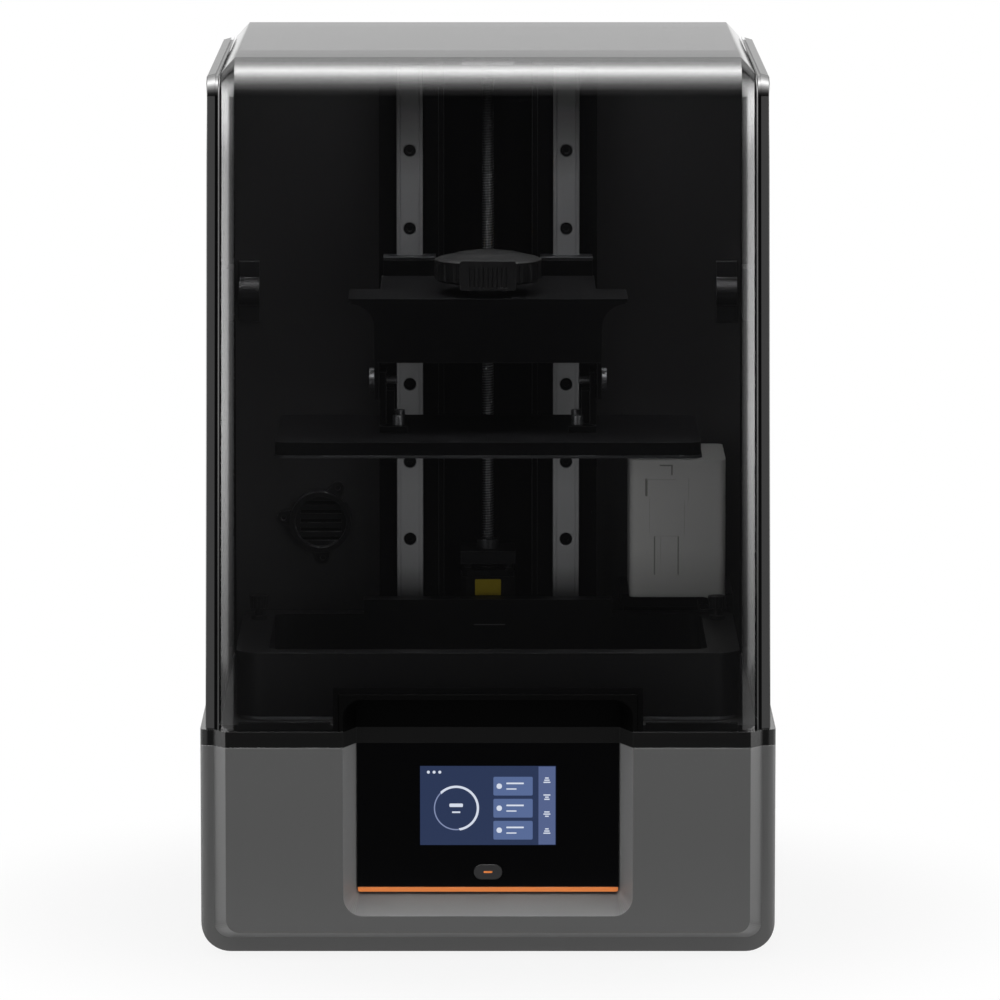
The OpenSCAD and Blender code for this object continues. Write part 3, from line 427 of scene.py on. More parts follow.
def surface(name, colour, rough, metal=0.0, cloud=0.05, cloud_size=0.05, grain=0.02, grain_size=0.0004,
            stretch=(1, 1, 1), rounding=0.0006, wear=0.0, **fixed):
    """cloud and wear are shares of the colour, sizes are metres, grain is the strength of the bump."""
    material, tree, shader = start_finish(name, Metallic=metal, **fixed)
    base = linear(colour)
    place = add_node(tree, "TexCoord")
    spread = add_node(tree, "Mapping", Scale=stretch)
    join(tree, place, "Object", spread, "Vector")
    wide = add_node(tree, "TexNoise", Scale=1 / cloud_size, Detail=3.0)
    join(tree, spread, "Vector", wide, "Vector")
    darker = (*[c * (1 - cloud) for c in base[:3]], 1)
    lighter = (*[min(c * (1 + cloud), 1) for c in base[:3]], 1)
    tint = add_node(tree, "MixRGB", Color1=darker, Color2=lighter)
    join(tree, wide, "Fac", tint, "Fac")
    fine = add_node(tree, "TexNoise", Scale=1 / grain_size, Detail=2.0)
    join(tree, spread, "Vector", fine, "Vector")
    smoothest, roughest = max(rough - ROUGH_SWING, 0.02), min(rough + ROUGH_SWING, 1.0)
    rougher = remap(tree, fine, "Fac", 0.0, 1.0, smoothest, roughest)
    join(tree, rougher, "Result", shader, "Roughness")
    lift = add_node(tree, "Bump", Strength=grain, Distance=BUMP_DEPTH)
    join(tree, fine, "Fac", lift, "Height")
    colour_from = tint
    if rounding:
        rounded = add_node(tree, "Bevel", Radius=rounding, samples=4)
        join(tree, rounded, "Normal", lift, "Normal")
        if wear:
            flat = add_node(tree, "NewGeometry")
            same = add_node(tree, "VectorMath", operation="DOT_PRODUCT")
            join(tree, rounded, "Normal", same, 0)
            join(tree, flat, "Normal", same, 1)
            rim = remap(tree, same, "Value", RIM_START, RIM_FULL, 0.0, wear)
            colour_from = add_node(tree, "MixRGB", Color2=WORN)
            join(tree, rim, "Result", colour_from, "Fac")
            join(tree, tint, "Color", colour_from, "Color1")
    join(tree, colour_from, "Color", shader, "Base Color")
    join(tree, lift, "Normal", shader, "Normal")
    return material


def dress(finish, *names):
    """Gives solids a finish by way of their material slots."""
    for name in names:
        slots = nodes[name].data.materials
        slots.clear()
        slots.append(finish)


print("plain surface ready")

# %% [markdown]
# The outer shell is steel sheet under a grey powder coat. It is matt and has the fine orange peel of
# baked powder, so its grain is coarser than that of most finishes and its clouding fainter.

# %% Shell
powder = surface("grey_powder_coat", "3e3e3e", 0.5, cloud=0.025, grain=0.05, grain_size=0.0009,
                 rounding=0.0007, wear=0.03, Specular_IOR_Level=0.85)
dress(powder, "base_shell")
print("shell:", powder.name, len(powder.node_tree.nodes), "nodes")

# %% [markdown]
# Two kinds of places on the shell catch less light from the studio than they should: the walls of the
# console's recess and the rims that face down. More lamps would also light the flat front, so the light
# they miss is painted on instead, as a paler grey of the coat there. A place is found by its normal and
# position, each made a factor.

# %% Painted light on the shell's recess walls and lower rims
# each pair is where a factor starts and where it is full
RECESS_NORMAL = (0.25, 0.75)  # how far a wall faces sideways
RECESS_HALF = (0.125, 0.115)  # distance from the middle
RECESS_DEPTH = (-0.168, -0.172)  # place along Y
RIM_NORMAL = (-0.1, -0.45)  # how far a rim faces up
RIM_SHARE = 0.7
# painted light: this grey stands in for the light that the recess walls and lower rims miss
PAINTED_LIGHT_GREY = linear("8a8a8a")
tree = powder.node_tree
shader = tree.nodes["Principled BSDF"]
coat = shader.inputs["Base Color"].links[0].from_node
geometry = add_node(tree, "NewGeometry")
facing = add_node(tree, "SeparateXYZ")
join(tree, geometry, "Normal", facing, "Vector")
spot = add_node(tree, "SeparateXYZ")
join(tree, geometry, "Position", spot, "Vector")
sideways = work_out(tree, "ABSOLUTE", (facing, "X"))
from_middle = work_out(tree, "ABSOLUTE", (spot, "X"))
is_wall = remap(tree, sideways, "Value", *RECESS_NORMAL)
is_near = remap(tree, from_middle, "Value", *RECESS_HALF)
is_front = remap(tree, spot, "Y", *RECESS_DEPTH)
near_wall = work_out(tree, "MULTIPLY", (is_wall, "Result"), (is_near, "Result"))
recess_wall = work_out(tree, "MULTIPLY", (near_wall, "Value"), (is_front, "Result"))
low_rim = remap(tree, facing, "Z", *RIM_NORMAL, 0.0, RIM_SHARE)
either = work_out(tree, "MAXIMUM", (recess_wall, "Value"), (low_rim, "Result"))
# the paler grey mixed in here is painted light, not a colour of the coat
painted_light = add_node(tree, "MixRGB", Color2=PAINTED_LIGHT_GREY)
join(tree, either, "Value", painted_light, "Fac")
join(tree, coat, "Color", painted_light, "Color1")
join(tree, painted_light, "Color", shader, "Base Color")
print("shell with paler places:", len(tree.nodes), "nodes")

# %% [markdown]
# The trim over the shell is glossy black plastic. The handle, the fittings at the rear and the feet are
# duller. Each black is its own finish, because gloss and tone differ from piece to piece.

# %% Trim, handle, rear fittings and feet
trim_gloss = surface("trim_band_black", "0c0c0c", 0.24, rounding=0.0002, Specular_IOR_Level=0.4)
dress(trim_gloss, "trim_band")
trim_black = surface("black_trim", "0c0c0c", 0.6, grain=0.03, rounding=0.0007, wear=0.02,
                     Specular_IOR_Level=0.08)
dress(trim_black, "inlet", "switch_frame", "fan_frame", "back_cover")
handle_black = surface("handle_black", "020202", 0.6, grain=0.03, rounding=0.0007,
                       Specular_IOR_Level=0.03)
dress(handle_black, "hood_handle")
dress(surface("fan_black", "121212", 0.45), "fan_rotor")
dress(surface("underside_steel", "2a2a2c", 0.45, metal=0.6, grain=0.03), "bottom_plate")
rubber = surface("rubber", "0d0d0d", 0.85, grain=0.12, grain_size=0.0012, Specular_IOR_Level=0.1)
dress(rubber, "feet", "hood_seal")
print("blacks outside:", trim_gloss.name, trim_black.name, handle_black.name, rubber.name)

# %% [markdown]
# The console is black glass with a display behind it, a power button and an orange strip under it.
# The display glows a little by itself, so it stays readable whatever light falls on the glass.

# %% Console and electrics
ORANGE = "fb8f45"
DISPLAY_GLOW = 0.9
gloss_black = surface("black_glass", "020203", 0.05, cloud=0.02, grain=0.0, rounding=0.0, IOR=1.45)
dress(gloss_black, "console_glass")
dress(surface("orange_paint", ORANGE, 0.42, cloud=0.03), "accent_strip")
page_blue = surface("display_glow", "07080c", 0.2, grain=0.0, rounding=0.0,
                    Emission_Color=linear("2a3757"), Emission_Strength=DISPLAY_GLOW)
dress(page_blue, "display")
dress(surface("button_plastic", "1f1f20", 0.35, rounding=0.0009), "power_button")
dress(surface("rocker_red", "b3180f", 0.3), "switch_rocker")
dress(surface("port_tin", "a9a9ad", 0.35, metal=1.0), "data_port")
dress(surface("circuit_green", "12402c", 0.5), "mainboard", "button_switch")
dress(surface("tinned_steel", "9a9c9f", 0.4, metal=1.0, stretch=(1, 1, 8)), "power_supply")
print("console:", gloss_black.name, page_blue.name)

# %% [markdown]
# The works under the hood stand in a dark box that is lit through its front, so the light on them falls
# off towards the roof and the deck. The studio's even light shows little of that fall, so the longest
# pieces carry a part of it in their colour: a ramp along Z that multiplies it.


# %% A finish that changes with height
def shade_along_height(finish, marks):
    """Multiplies a finish's colour along Z; marks are (height, share of the colour) pairs, upwards."""
    tree = finish.node_tree
    shader = tree.nodes["Principled BSDF"]
    plain = shader.inputs["Base Color"].links[0].from_node
    low, high = marks[0][0], marks[-1][0]
    most = max(share for _, share in marks)
    place = add_node(tree, "TexCoord")
    split = add_node(tree, "SeparateXYZ")
    join(tree, place, "Object", split, "Vector")
    height = remap(tree, split, "Z", low, high)
    steps = [((z - low) / (high - low), share / most) for z, share in marks]
    level = level_along(tree, height, "Result", steps, most)
    shaded = add_node(tree, "VectorMath", operation="SCALE")
    join(tree, plain, "Color", shaded, 0)
    join(tree, level, "Value", shaded, "Scale")
    join(tree, shaded, "Vector", shader, "Base Color")


# (height in metres, share of the colour)
CHAMBER_SHADE = ((0.17, 1.5), (0.3, 1.45), (0.45, 1.1), (0.64, 0.7))
RAIL_SHADE = (
    (0.2, 0.1), (0.23, 0.3), (0.25, 1.0), (0.33, 1.25), (0.44, 1.2), (0.5, 0.8), (0.55, 0.72),
    (0.582, 0.3), (0.607, 0.08), (0.64, 0.05),
)
FEED_BOX_SHADE = ((0.224, 0.35), (0.236, 0.75), (0.27, 1.0), (0.338, 1.05))
print("rails are brightest at", max(RAIL_SHADE, key=lambda mark: mark[1])[0], "m")

# %% [markdown]
# Inside the hood most parts are black anodised aluminium or black plastic, so that stray light does not
# cure resin. The arm and the plate's body are the dullest of them.

# %% Black works under the hood
housing_black = surface("chamber_black", "323233", 0.55, grain=0.04, Specular_IOR_Level=0.2)
shade_along_height(housing_black, CHAMBER_SHADE)
dress(housing_black, "back_housing", "deck_plate")
anodised = surface("black_anodised", "0e0e0f", 0.6, metal=0.02, grain=0.03, wear=0.12,
                   Specular_IOR_Level=0.03)
dress(anodised, "arm", "slide_plate", "plate_body", "column", "plate_brackets")
bearing_black = surface("bearing_black", "262628", 0.4, metal=0.5, wear=0.2)
dress(bearing_black, "screw_bearings", "hinge_blocks", "air_port")
carriage_steel = surface("carriage_steel", "303134", 0.4, metal=0.6, wear=0.1)
dress(carriage_steel, "carriage_left", "carriage_right")
print("black works:", housing_black.name, anodised.name, bearing_black.name, carriage_steel.name)

# %% [markdown]
# The rails are ground steel and the screw is greased. The small screws and the motor's plate are the
# only other pieces in there that catch the eye.

# %% Steel, brass and screws
rail_steel = surface("rail_steel", "bcbdbf", 0.6, metal=0.05, cloud=0.03, grain=0.015,
                     stretch=(1, 1, 0.02))
shade_along_height(rail_steel, RAIL_SHADE)
dress(rail_steel, "rail_left", "rail_right")
dress(surface("screw_steel", "b4b5b8", 0.28, metal=0.9), "levelling_screws", "side_screws")
greased_steel = surface("greased_steel", "6c6d70", 0.38, metal=0.9)
shade_along_height(greased_steel, RAIL_SHADE)
dress(greased_steel, "lead_screw")
dress(surface("screw_black", "1c1c1e", 0.35, metal=0.6), "rail_screws", "back_screws")
dress(surface("motor_black", "141415", 0.4, metal=0.3), "z_motor")
dress(surface("yellow_plate", "ab981c", 0.4, grain=0.0), "motor_plate")
dress(surface("nut_brass", "9a7534", 0.42, metal=1.0), "lead_nut")
dress(surface("hinge_steel", "4a4a4c", 0.5, metal=0.5), "hinge_arms")
print("steel:", rail_steel.name, greased_steel.name)

# %% [markdown]
# The vat and the knobs are black plastic and the plate's lower face is cut metal. The film's ring and
# the lamp's housing are blasted aluminium. The feeding box is white plastic with soft edges.

# %% Vat, plate, knobs and feeding box
knob_black = surface("knob_black", "131314", 0.45, grain=0.05, wear=0.08, Specular_IOR_Level=0.3)
dress(knob_black, "clamp_knob", "vat_knob_left", "vat_knob_right")
blasted = surface("blasted_aluminium", "c3c5c8", 0.45, metal=0.9, grain=0.06, grain_size=0.0005)
dress(blasted, "light_housing", "film_ring")
dress(surface("laser_cut_plate", "303133", 0.5, metal=0.5, grain=0.08, grain_size=0.0005), "plate_face")
vat_black = surface("vat_black", "121213", 0.42, metal=0.05, grain=0.03, wear=0.1,
                    Specular_IOR_Level=0.25)
dress(vat_black, "vat_frame", "feed_shelf")
feed_plastic = surface("feed_box_plastic", "eeeeec", 0.55, rounding=0.0025, Specular_IOR_Level=0.2)
shade_along_height(feed_plastic, FEED_BOX_SHADE)
dress(feed_plastic, "feed_box")
dress(surface("mask_glass", "060609", 0.05, grain=0.0, rounding=0.0), "mask_screen")
dress(surface("lamp_board", "e6e4da", 0.5), "light_array")
print("vat and box:", knob_black.name, blasted.name, vat_black.name, feed_plastic.name)

# %% [markdown]
# The vat's floor is a clear film and the lens over the lamp is clear plastic. Both let most light
# through, so alpha is enough for them and the path of the light needn't bend.

# %% Clear pieces
film = surface("clear_film", "cfd6da", 0.08, grain=0.0, rounding=0.0, Alpha=0.22)
dress(film, "vat_film", "lens")
print("clear:", film.name)


# %% Solids that are not dressed
def is_dressed(solid):
    """True once one of a solid's materials is more than the plain one that it came with."""
    return any(m and m.use_nodes and len(m.node_tree.nodes) > 3 for m in solid.data.materials)


# only the hood's cover and sides, which modelled pieces replace below
print("not dressed:", [name for name, solid in nodes.items() if not is_dressed(solid)])

# %% [markdown]
# ## Shaping and settling a piece
# Two more things that the mouse does by hand: picking points by their place, and ending a piece with
# sound normals. An ended piece rides on the body that it belongs to.


# %% Helpers for modelling
def pick(test):
    """In edit mode, selects the points that pass the test, and the edges and faces between them."""
    bpy.ops.mesh.select_mode(type="VERT")
    bpy.ops.mesh.select_all(action="DESELECT")
    mesh = bmesh.from_edit_mesh(bpy.context.edit_object.data)
    for point in mesh.verts:
        point.select = bool(test(point.co))
    mesh.select_flush(True)
    bmesh.update_edit_mesh(bpy.context.edit_object.data)


def finish_modifiers(piece):
    """Applies every modifier of a piece in turn."""
    take_up(piece)
    for modifier in list(piece.modifiers):
        bpy.ops.object.modifier_apply(modifier=modifier.name)


def settle(piece, body, replaces=(), smooth=30):
    """Ends a piece: place in the mesh, faces outwards, smooth where it curves, riding on its body."""
    if bpy.context.mode == "EDIT_MESH":
        object_mode()
    take_up(piece)
    apply_place()
    edit_mode()
    pick_all()
    bpy.ops.mesh.remove_doubles(threshold=1e-6)
    bpy.ops.mesh.normals_make_consistent(inside=False)
    object_mode()
    bpy.ops.object.shade_smooth_by_angle(angle=math.radians(smooth))
    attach(piece, body)
    if replaces:
        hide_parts(*replaces)
    return piece


print("modelling helpers ready")

# %% [markdown]
# ## The hood
# The hood is one smoked acrylic moulding: a flat front and roof joined by a roll, with two narrow
# facets down each edge. It could be bent from a sheet with a bevel modifier, but then the facets would
# not follow the roll evenly. So its side view is drawn once as a line of edges and pulled sideways, and
# at each facet it is also shrunk about the centre of the roll, which sets every part of the line back
# by the same distance.

# %% Sizes of the hood
cover_low, cover_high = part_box("hood_cover")
side_low, side_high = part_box("hood_side_right")
HOOD_FRONT, HOOD_REAR = cover_low.y, cover_high.y
HOOD_FOOT, HOOD_TOP = cover_low.z, cover_high.z
ROLL = 0.028
HOOD_WALL = 0.003
COVER_X = cover_high.x
WINDOW_X = COVER_X - 0.0098
SIDE_X = side_high.x
ROLL_CENTRE = (0, HOOD_FRONT + ROLL, HOOD_TOP - ROLL)
ROLL_STEPS = 28
NEAR = 0.001  # points this close to a corner are the corner
SPARE = 0.7  # the line runs on past the foot and the rear, so that shrinking never leaves it short
print("hood front", round(HOOD_FRONT, 4), "top", round(HOOD_TOP, 4), "half width", round(SIDE_X, 4))


# %% The hood's side view, as edges
def side_view(name, x, setback, closed):
    """Edges up the front, round the roll and along the roof; closed also runs round rear and foot."""
    front, top = HOOD_FRONT + setback, HOOD_TOP - setback
    rear, foot = HOOD_REAR + SPARE, HOOD_FOOT - SPARE
    lay_aside()
    middle = (x, (front + rear) / 2, (foot + top) / 2)
    bpy.ops.mesh.primitive_plane_add(size=1, location=middle, rotation=(0, math.pi / 2, 0))
    piece = bpy.context.object
    piece.name = name
    piece.scale = (top - foot, rear - front, 1)
    apply_place()
    edit_mode()
    pick(lambda p: p.y < front + NEAR and p.z > top - NEAR)
    radius = ROLL - setback
    bpy.ops.mesh.bevel(offset=radius, offset_type="OFFSET", segments=ROLL_STEPS, affect="VERTICES")
    pick_all()
    bpy.ops.mesh.delete(type="ONLY_FACE")
    if not closed:
        pick(lambda p: p.y > rear - NEAR and p.z < foot + NEAR)
        bpy.ops.mesh.delete(type="VERT")
    pick_all()
    return piece


def pull_through(profile):
    """Pulls the selected edges through (x, setback) steps, shrinking them about the roll's centre."""
    for (x0, back0), (x1, back1) in zip(profile, profile[1:]):
        bpy.ops.mesh.extrude_edges_move(TRANSFORM_OT_translate={"value": (x1 - x0, 0, 0)})
        share = (ROLL - back1) / (ROLL - back0)
        bpy.ops.transform.resize(value=(1, share, share), center_override=ROLL_CENTRE)


def cut_ends(fill):
    """Cuts the pulled shape off at the hood's foot and rear; fill closes the cuts with a face."""
    for place, outwards in (((0, 0, HOOD_FOOT), (0, 0, -1)), ((0, HOOD_REAR, 0), (0, 1, 0))):
        pick_all()
        bpy.ops.mesh.bisect(plane_co=place, plane_no=outwards, use_fill=fill, clear_outer=True)


print("side view helpers ready")

# %% [markdown]
# The cover is pulled from the middle to its edge over the facets, and back again a wall's thickness
# inside. Half of it is enough: a mirror gives the other half, and the open ends at the foot and the
# rear are filled.

# %% Cover
# (place across, setback from the flat faces)
FACETS = ((WINDOW_X, 0.0), (WINDOW_X + 0.0042, 0.0042), (COVER_X + 0.0005, 0.0110))
INSIDE = ((COVER_X + 0.0005, 0.0146), (WINDOW_X + 0.0027, 0.0070), (WINDOW_X - 0.0012, HOOD_WALL))
cover = side_view("hood_cover_smoked", 0.0, 0.0, closed=False)
pull_through(((0.0, 0.0), *FACETS, *INSIDE, (0.0, HOOD_WALL)))
cut_ends(fill=False)
object_mode()
mirror = cover.modifiers.new("other_half", "MIRROR")
mirror.use_axis = (True, False, False)
mirror.merge_threshold = 1e-5
finish_modifiers(cover)
edit_mode()
pick_all()
bpy.ops.mesh.fill_holes(sides=0)
bpy.ops.mesh.normals_make_consistent(inside=False)
object_mode()
print("cover:", len(cover.data.vertices), "points", len(cover.data.polygons), "faces")

# %% [markdown]
# The handle sits in a low opening in the middle of the front, cut here with a block and a boolean
# modifier. Then the hood narrows by 1.4 % from foot to top, as a moulding must to leave its tool, and a
# fine bevel takes the sharpness off its edges.


# %% Opening for the handle, and the hood's draft
def cut_block(piece, low, high):
    """Cuts a block from corner to corner out of a piece."""
    low, high = Vector(low), Vector(high)
    lay_aside()
    bpy.ops.mesh.primitive_cube_add(size=1, location=(low + high) / 2, scale=high - low)
    block = bpy.context.object
    apply_place()
    cut = piece.modifiers.new("cut", "BOOLEAN")
    cut.operation = "DIFFERENCE"
    cut.solver = "EXACT"
    cut.object = block
    finish_modifiers(piece)
    bpy.data.objects.remove(block)


def narrow_upwards(piece, share):
    """Narrows a piece in X, evenly from the hood's foot to its top."""
    for point in piece.data.vertices:
        point.co.x *= 1 - share * (point.co.z - HOOD_FOOT) / (HOOD_TOP - HOOD_FOOT)


OPENING_HALF, OPENING_DEPTH, OPENING_HEIGHT = 0.110, 0.008, 0.028
CLEAR = 0.01  # the block starts this far outside the hood, so that no faces coincide
DRAFT = 0.0138
cut_block(
    cover, (-OPENING_HALF, HOOD_FRONT - CLEAR, HOOD_FOOT - CLEAR),
    (OPENING_HALF, HOOD_FRONT + OPENING_DEPTH, HOOD_FOOT + OPENING_HEIGHT),
)
narrow_upwards(cover, DRAFT)
bevel = cover.modifiers.new("edges", "BEVEL")
bevel.width = 0.0002
bevel.segments = 2
bevel.limit_method = "ANGLE"
bevel.angle_limit = math.radians(14)
finish_modifiers(cover)
settle(cover, "hood", ("hood_cover",), smooth=12)
print("cover finished:", len(cover.data.polygons), "faces")

# %% [markdown]
# The side panels are opaque black mouldings. Each has a bead beside the cover, a narrow shadow gap,
# and a band that slopes away to the side. They are pulled from closed loops, so that they end in a flat
# wall. A return along the rear edge reaches inwards to the back housing and keeps daylight out.

# %% Side panels
# (place across, setback from the cover's flat faces)
PANEL = (
    (SIDE_X - 0.0062, 0.0165), (COVER_X + 0.0007, 0.0165), (COVER_X + 0.0007, 0.0126),
    (COVER_X + 0.0009, 0.0114), (COVER_X + 0.0011, 0.0109), (COVER_X + 0.0014, 0.0108),
    (COVER_X + 0.0024, 0.0118), (COVER_X + 0.0025, 0.0136), (COVER_X + 0.0045, 0.0136),
    (COVER_X + 0.0047, 0.0118), (SIDE_X - 0.0012, 0.0134), (SIDE_X - 0.0006, 0.0141),
)
RETURN_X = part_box("back_housing")[1].x + 0.0004
RETURN_LOW = (RETURN_X, HOOD_REAR - 0.010, side_low.z + 0.0005)
RETURN_HIGH = (SIDE_X - 0.0045, HOOD_REAR - 0.004, HOOD_TOP - 0.0165)
RETURN_SLACK = 0.0001
panels = {}
for side, name in ((-1, "left"), (1, "right")):
    panel = side_view(f"hood_panel_{name}", side * PANEL[0][0], PANEL[0][1], closed=True)
    bpy.ops.mesh.edge_face_add()
    pull_through([(side * x, back) for x, back in PANEL])
    bpy.ops.mesh.edge_face_add()
    cut_ends(fill=True)
    middle = [(low + high) / 2 for low, high in zip(RETURN_LOW, RETURN_HIGH)]
    size = [high - low for low, high in zip(RETURN_LOW, RETURN_HIGH)]
    bpy.ops.mesh.primitive_cube_add(size=1, location=(side * middle[0], *middle[1:]), scale=size)
    object_mode()
    narrow_upwards(panel, DRAFT)
    # the return's inner face stays upright, beside the back housing
    for point in panel.data.vertices:
        if abs(point.co.x) < RETURN_X + RETURN_SLACK and point.co.y > RETURN_LOW[1] - NEAR:
            point.co.x = side * RETURN_X
    settle(panel, "hood", (f"hood_side_{name}",), smooth=12)
    panels[name] = panel
    print(panel.name, len(panel.data.polygons), "faces")

# %% [markdown]
# Smoked acrylic is glossy and lets about half of the light through. The outer skin carries the tint
# and the gloss; the inner one is almost clear, or the tint would count twice. At a low angle the skin
# mirrors more and passes less. A Fresnel node would do that from outside, but it takes light that
# leaves from the inside for trapped in glass, so the facing of the surface is raised to the fifth power
# instead, which is the same from both sides.


# %% Hood finishes
def smoked_acrylic(name, tint_share, gloss_index):
    """Black gloss of which tint_share hides what is behind it, and all of it at a low angle."""
    material = surface(name, "050506", 0.045, cloud=0.0, grain=0.0, rounding=0.0, IOR=gloss_index)
    tree = material.node_tree
    turned_away = add_node(tree, "LayerWeight", Blend=0.5)
    mirror_share = work_out(tree, "POWER", (turned_away, "Facing"), 5.0)
    opacity = remap(tree, mirror_share, "Value", 0.0, 1.0, tint_share, 1.0)
    join(tree, opacity, "Result", tree.nodes["Principled BSDF"], "Alpha")
    return material


INNER_DEPTH = 0.03  # the inner skin lies within this depth of the flat faces
TURNED_IN = 0.4  # and faces the inside at least this much
cover.data.materials.append(smoked_acrylic("smoked_acrylic_outside", 0.46, 1.8))
cover.data.materials.append(smoked_acrylic("smoked_acrylic_inside", 0.04, 1.3))
for face in cover.data.polygons:
    behind_front = face.normal.y > TURNED_IN and face.center.y < HOOD_FRONT + INNER_DEPTH
    under_roof = face.normal.z < -TURNED_IN and face.center.z > HOOD_TOP - INNER_DEPTH
    face.material_index = 1 if behind_front or under_roof else 0
gloss_panel = surface("panel_black_gloss", "0a0a0b", 0.09, grain=0.004, grain_size=0.002, rounding=0.0,
                      IOR=1.55)
for panel in panels.values():
    panel.data.materials.append(gloss_panel)
print("inner faces:", sum(f.material_index for f in cover.data.polygons))

# %% [markdown]
# ## The display's picture
# The touch display shows a plain home page. Its tiles could be painted with shader nodes, but small
# solid tiles stay sharp from near by. Each tile is a cube with rounded corners, five hundredths of a
# millimetre thick, and each colour is one piece that glows a little by itself.


# %% Tiles
def rounded_tile(x, z, width, height, radius, front, deep, first):
    """A thin plate that faces the front; the first tile starts the piece, the others join it."""
    if not first:
        bpy.ops.mesh.select_all(action="DESELECT")
    middle, size = (x, front + deep / 2, z), (width, deep, height)
    bpy.ops.mesh.primitive_cube_add(size=1, location=middle, scale=size)
    if first:
        apply_place()
        edit_mode()
    bpy.ops.mesh.select_mode(type="EDGE")
    mesh = bmesh.from_edit_mesh(bpy.context.edit_object.data)
    for edge in mesh.edges:
        along = edge.verts[0].co - edge.verts[1].co
        if edge.select and max(abs(along.x), abs(along.z)) > 1e-7:
            edge.select = False
    bmesh.update_edit_mesh(bpy.context.edit_object.data)
    bpy.ops.mesh.bevel(offset=radius, offset_type="OFFSET", segments=4, affect="EDGES")


def tile_piece(name, tiles, front, deep, body, finish):
    """One piece from (x, z, width, height, corner radius) tiles, in metres."""
    lay_aside()
    for count, (x, z, width, height, radius) in enumerate(tiles):
        rounded_tile(x, z, width, height, radius, front, deep, first=count == 0)
    piece = bpy.context.edit_object
    piece.name = name
    settle(piece, body)
    piece.data.materials.append(finish)
    return piece


def glowing(name, code):
    """A lit part of the display: nearly black by itself, with a glow of the colour."""
    return surface(name, "07080c", 0.25, cloud=0.0, grain=0.0, rounding=0.0,
                   Emission_Color=linear(code), Emission_Strength=DISPLAY_GLOW)


print("tile helpers ready")

# %% [markdown]
# The page has a row of dots along the top, a round gauge on the left, three cards beside it, and a bar
# of buttons down the right edge. First come the tiles that the rest lies on.

# %% The bar and the cards
DISPLAY_Z = 0.110
DISPLAY_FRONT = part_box("display")[0].y
LAYER = 0.00005
BAR_X, CARD_X, GAUGE_X, GAUGE_Z = 0.0435, 0.0185, -0.0235, DISPLAY_Z - 0.002
BUTTON_PITCH, CARD_PITCH = 0.0127, 0.0165
BUTTONS = [DISPLAY_Z + 0.0190 - BUTTON_PITCH * k for k in range(4)]
CARDS = [DISPLAY_Z + 0.0145 - CARD_PITCH * k for k in range(3)]
page = [
    ("page_bar", "56658f", [(BAR_X, DISPLAY_Z, 0.0124, 0.0584, 0.0002)]),
    ("page_cards", "5a6e9c", [(CARD_X, z, 0.0290, 0.0140, 0.0010) for z in CARDS]),
]
for name, code, tiles in page:
    tile_piece(name, tiles, DISPLAY_FRONT - LAYER, LAYER, "base", glowing(name, code))
print("page tiles:", sum(len(tiles) for _, _, tiles in page))

# %% [markdown]
# The marks on them are dots, bars and blocks that stand for nothing. They lie one layer further
# forward, because two faces in the same place would fight for the light.

# %% Marks on the page
BAR_LONGEST, BAR_STEP, BAR_PITCH = 0.0052, 0.0012, 0.0016
DOT_LEFT, DOT_PITCH, DOT_RISE = -0.0440, 0.0042, 0.0250
marks = []
for count, z in enumerate(BUTTONS):
    for step in range(3):
        width = BAR_LONGEST - BAR_STEP * ((step + count) % 3)
        marks.append((BAR_X, z + BAR_PITCH * (step - 1), width, 0.0009, 0.0003))
for z in CARDS:
    marks += [
        (CARD_X - 0.0102, z, 0.0040, 0.0040, 0.0018),
        (CARD_X + 0.0015, z + 0.0021, 0.0130, 0.0012, 0.0005),
        (CARD_X - 0.0012, z - 0.0021, 0.0076, 0.0009, 0.0004),
    ]
dot_places = [DOT_LEFT + DOT_PITCH * k for k in range(3)]
marks += [(x, DISPLAY_Z + DOT_RISE, 0.0022, 0.0022, 0.0010) for x in dot_places]
marks += [
    (GAUGE_X, GAUGE_Z + 0.0022, 0.0100, 0.0026, 0.0008),
    (GAUGE_X, GAUGE_Z - 0.0030, 0.0062, 0.0012, 0.0005),
]
pale = glowing("page_marks", "dfe6f5")
tile_piece("page_marks", marks, DISPLAY_FRONT - 2 * LAYER, LAYER, "base", pale)
print("page marks:", len(marks))

# %% [markdown]
# The gauge is a ring: a disc of 64 corners whose face is inset, its middle deleted and the rest given
# a thickness. A second, wider ring keeps only the arc that stands for the work done, cut off with a
# bisect.


# %% The gauge
def flat_ring(name, outer, width, front, arc_only, finish):
    """A thin ring that faces the front; arc_only keeps its right half and a little more."""
    lay_aside()
    bpy.ops.mesh.primitive_circle_add(vertices=64, radius=outer, fill_type="NGON",
                                      location=(GAUGE_X, front, GAUGE_Z), rotation=(math.pi / 2, 0, 0))
    ring = bpy.context.object
    ring.name = name
    apply_place()
    edit_mode()
    pick_all()
    bpy.ops.mesh.inset(thickness=width)
    bpy.ops.mesh.delete(type="ONLY_FACE")
    if arc_only:
        left_end = (GAUGE_X - outer / 3, 0, GAUGE_Z)
        pick_all()
        bpy.ops.mesh.bisect(plane_co=left_end, plane_no=(1, 0, 0.5), clear_inner=True)
    pick_all()
    bpy.ops.mesh.extrude_region_move(TRANSFORM_OT_translate={"value": (0, LAYER, 0)})
    settle(ring, "base")
    ring.data.materials.append(finish)
    return ring


dim_ring = glowing("gauge_ring", "8793b8")
whole = flat_ring("page_gauge_ring", 0.0165, 0.0009, DISPLAY_FRONT - LAYER, False, dim_ring)
part = flat_ring("page_gauge_arc", 0.0169, 0.0017, DISPLAY_FRONT - 2 * LAYER, True, pale)
print("gauge:", len(whole.data.polygons), "and", len(part.data.polygons), "faces")

# %% [markdown]
# The power button carries a short orange dash. It stands a twentieth of a millimetre proud of the
# button's face, so that it shows as paint does and doesn't fight with the face behind it.

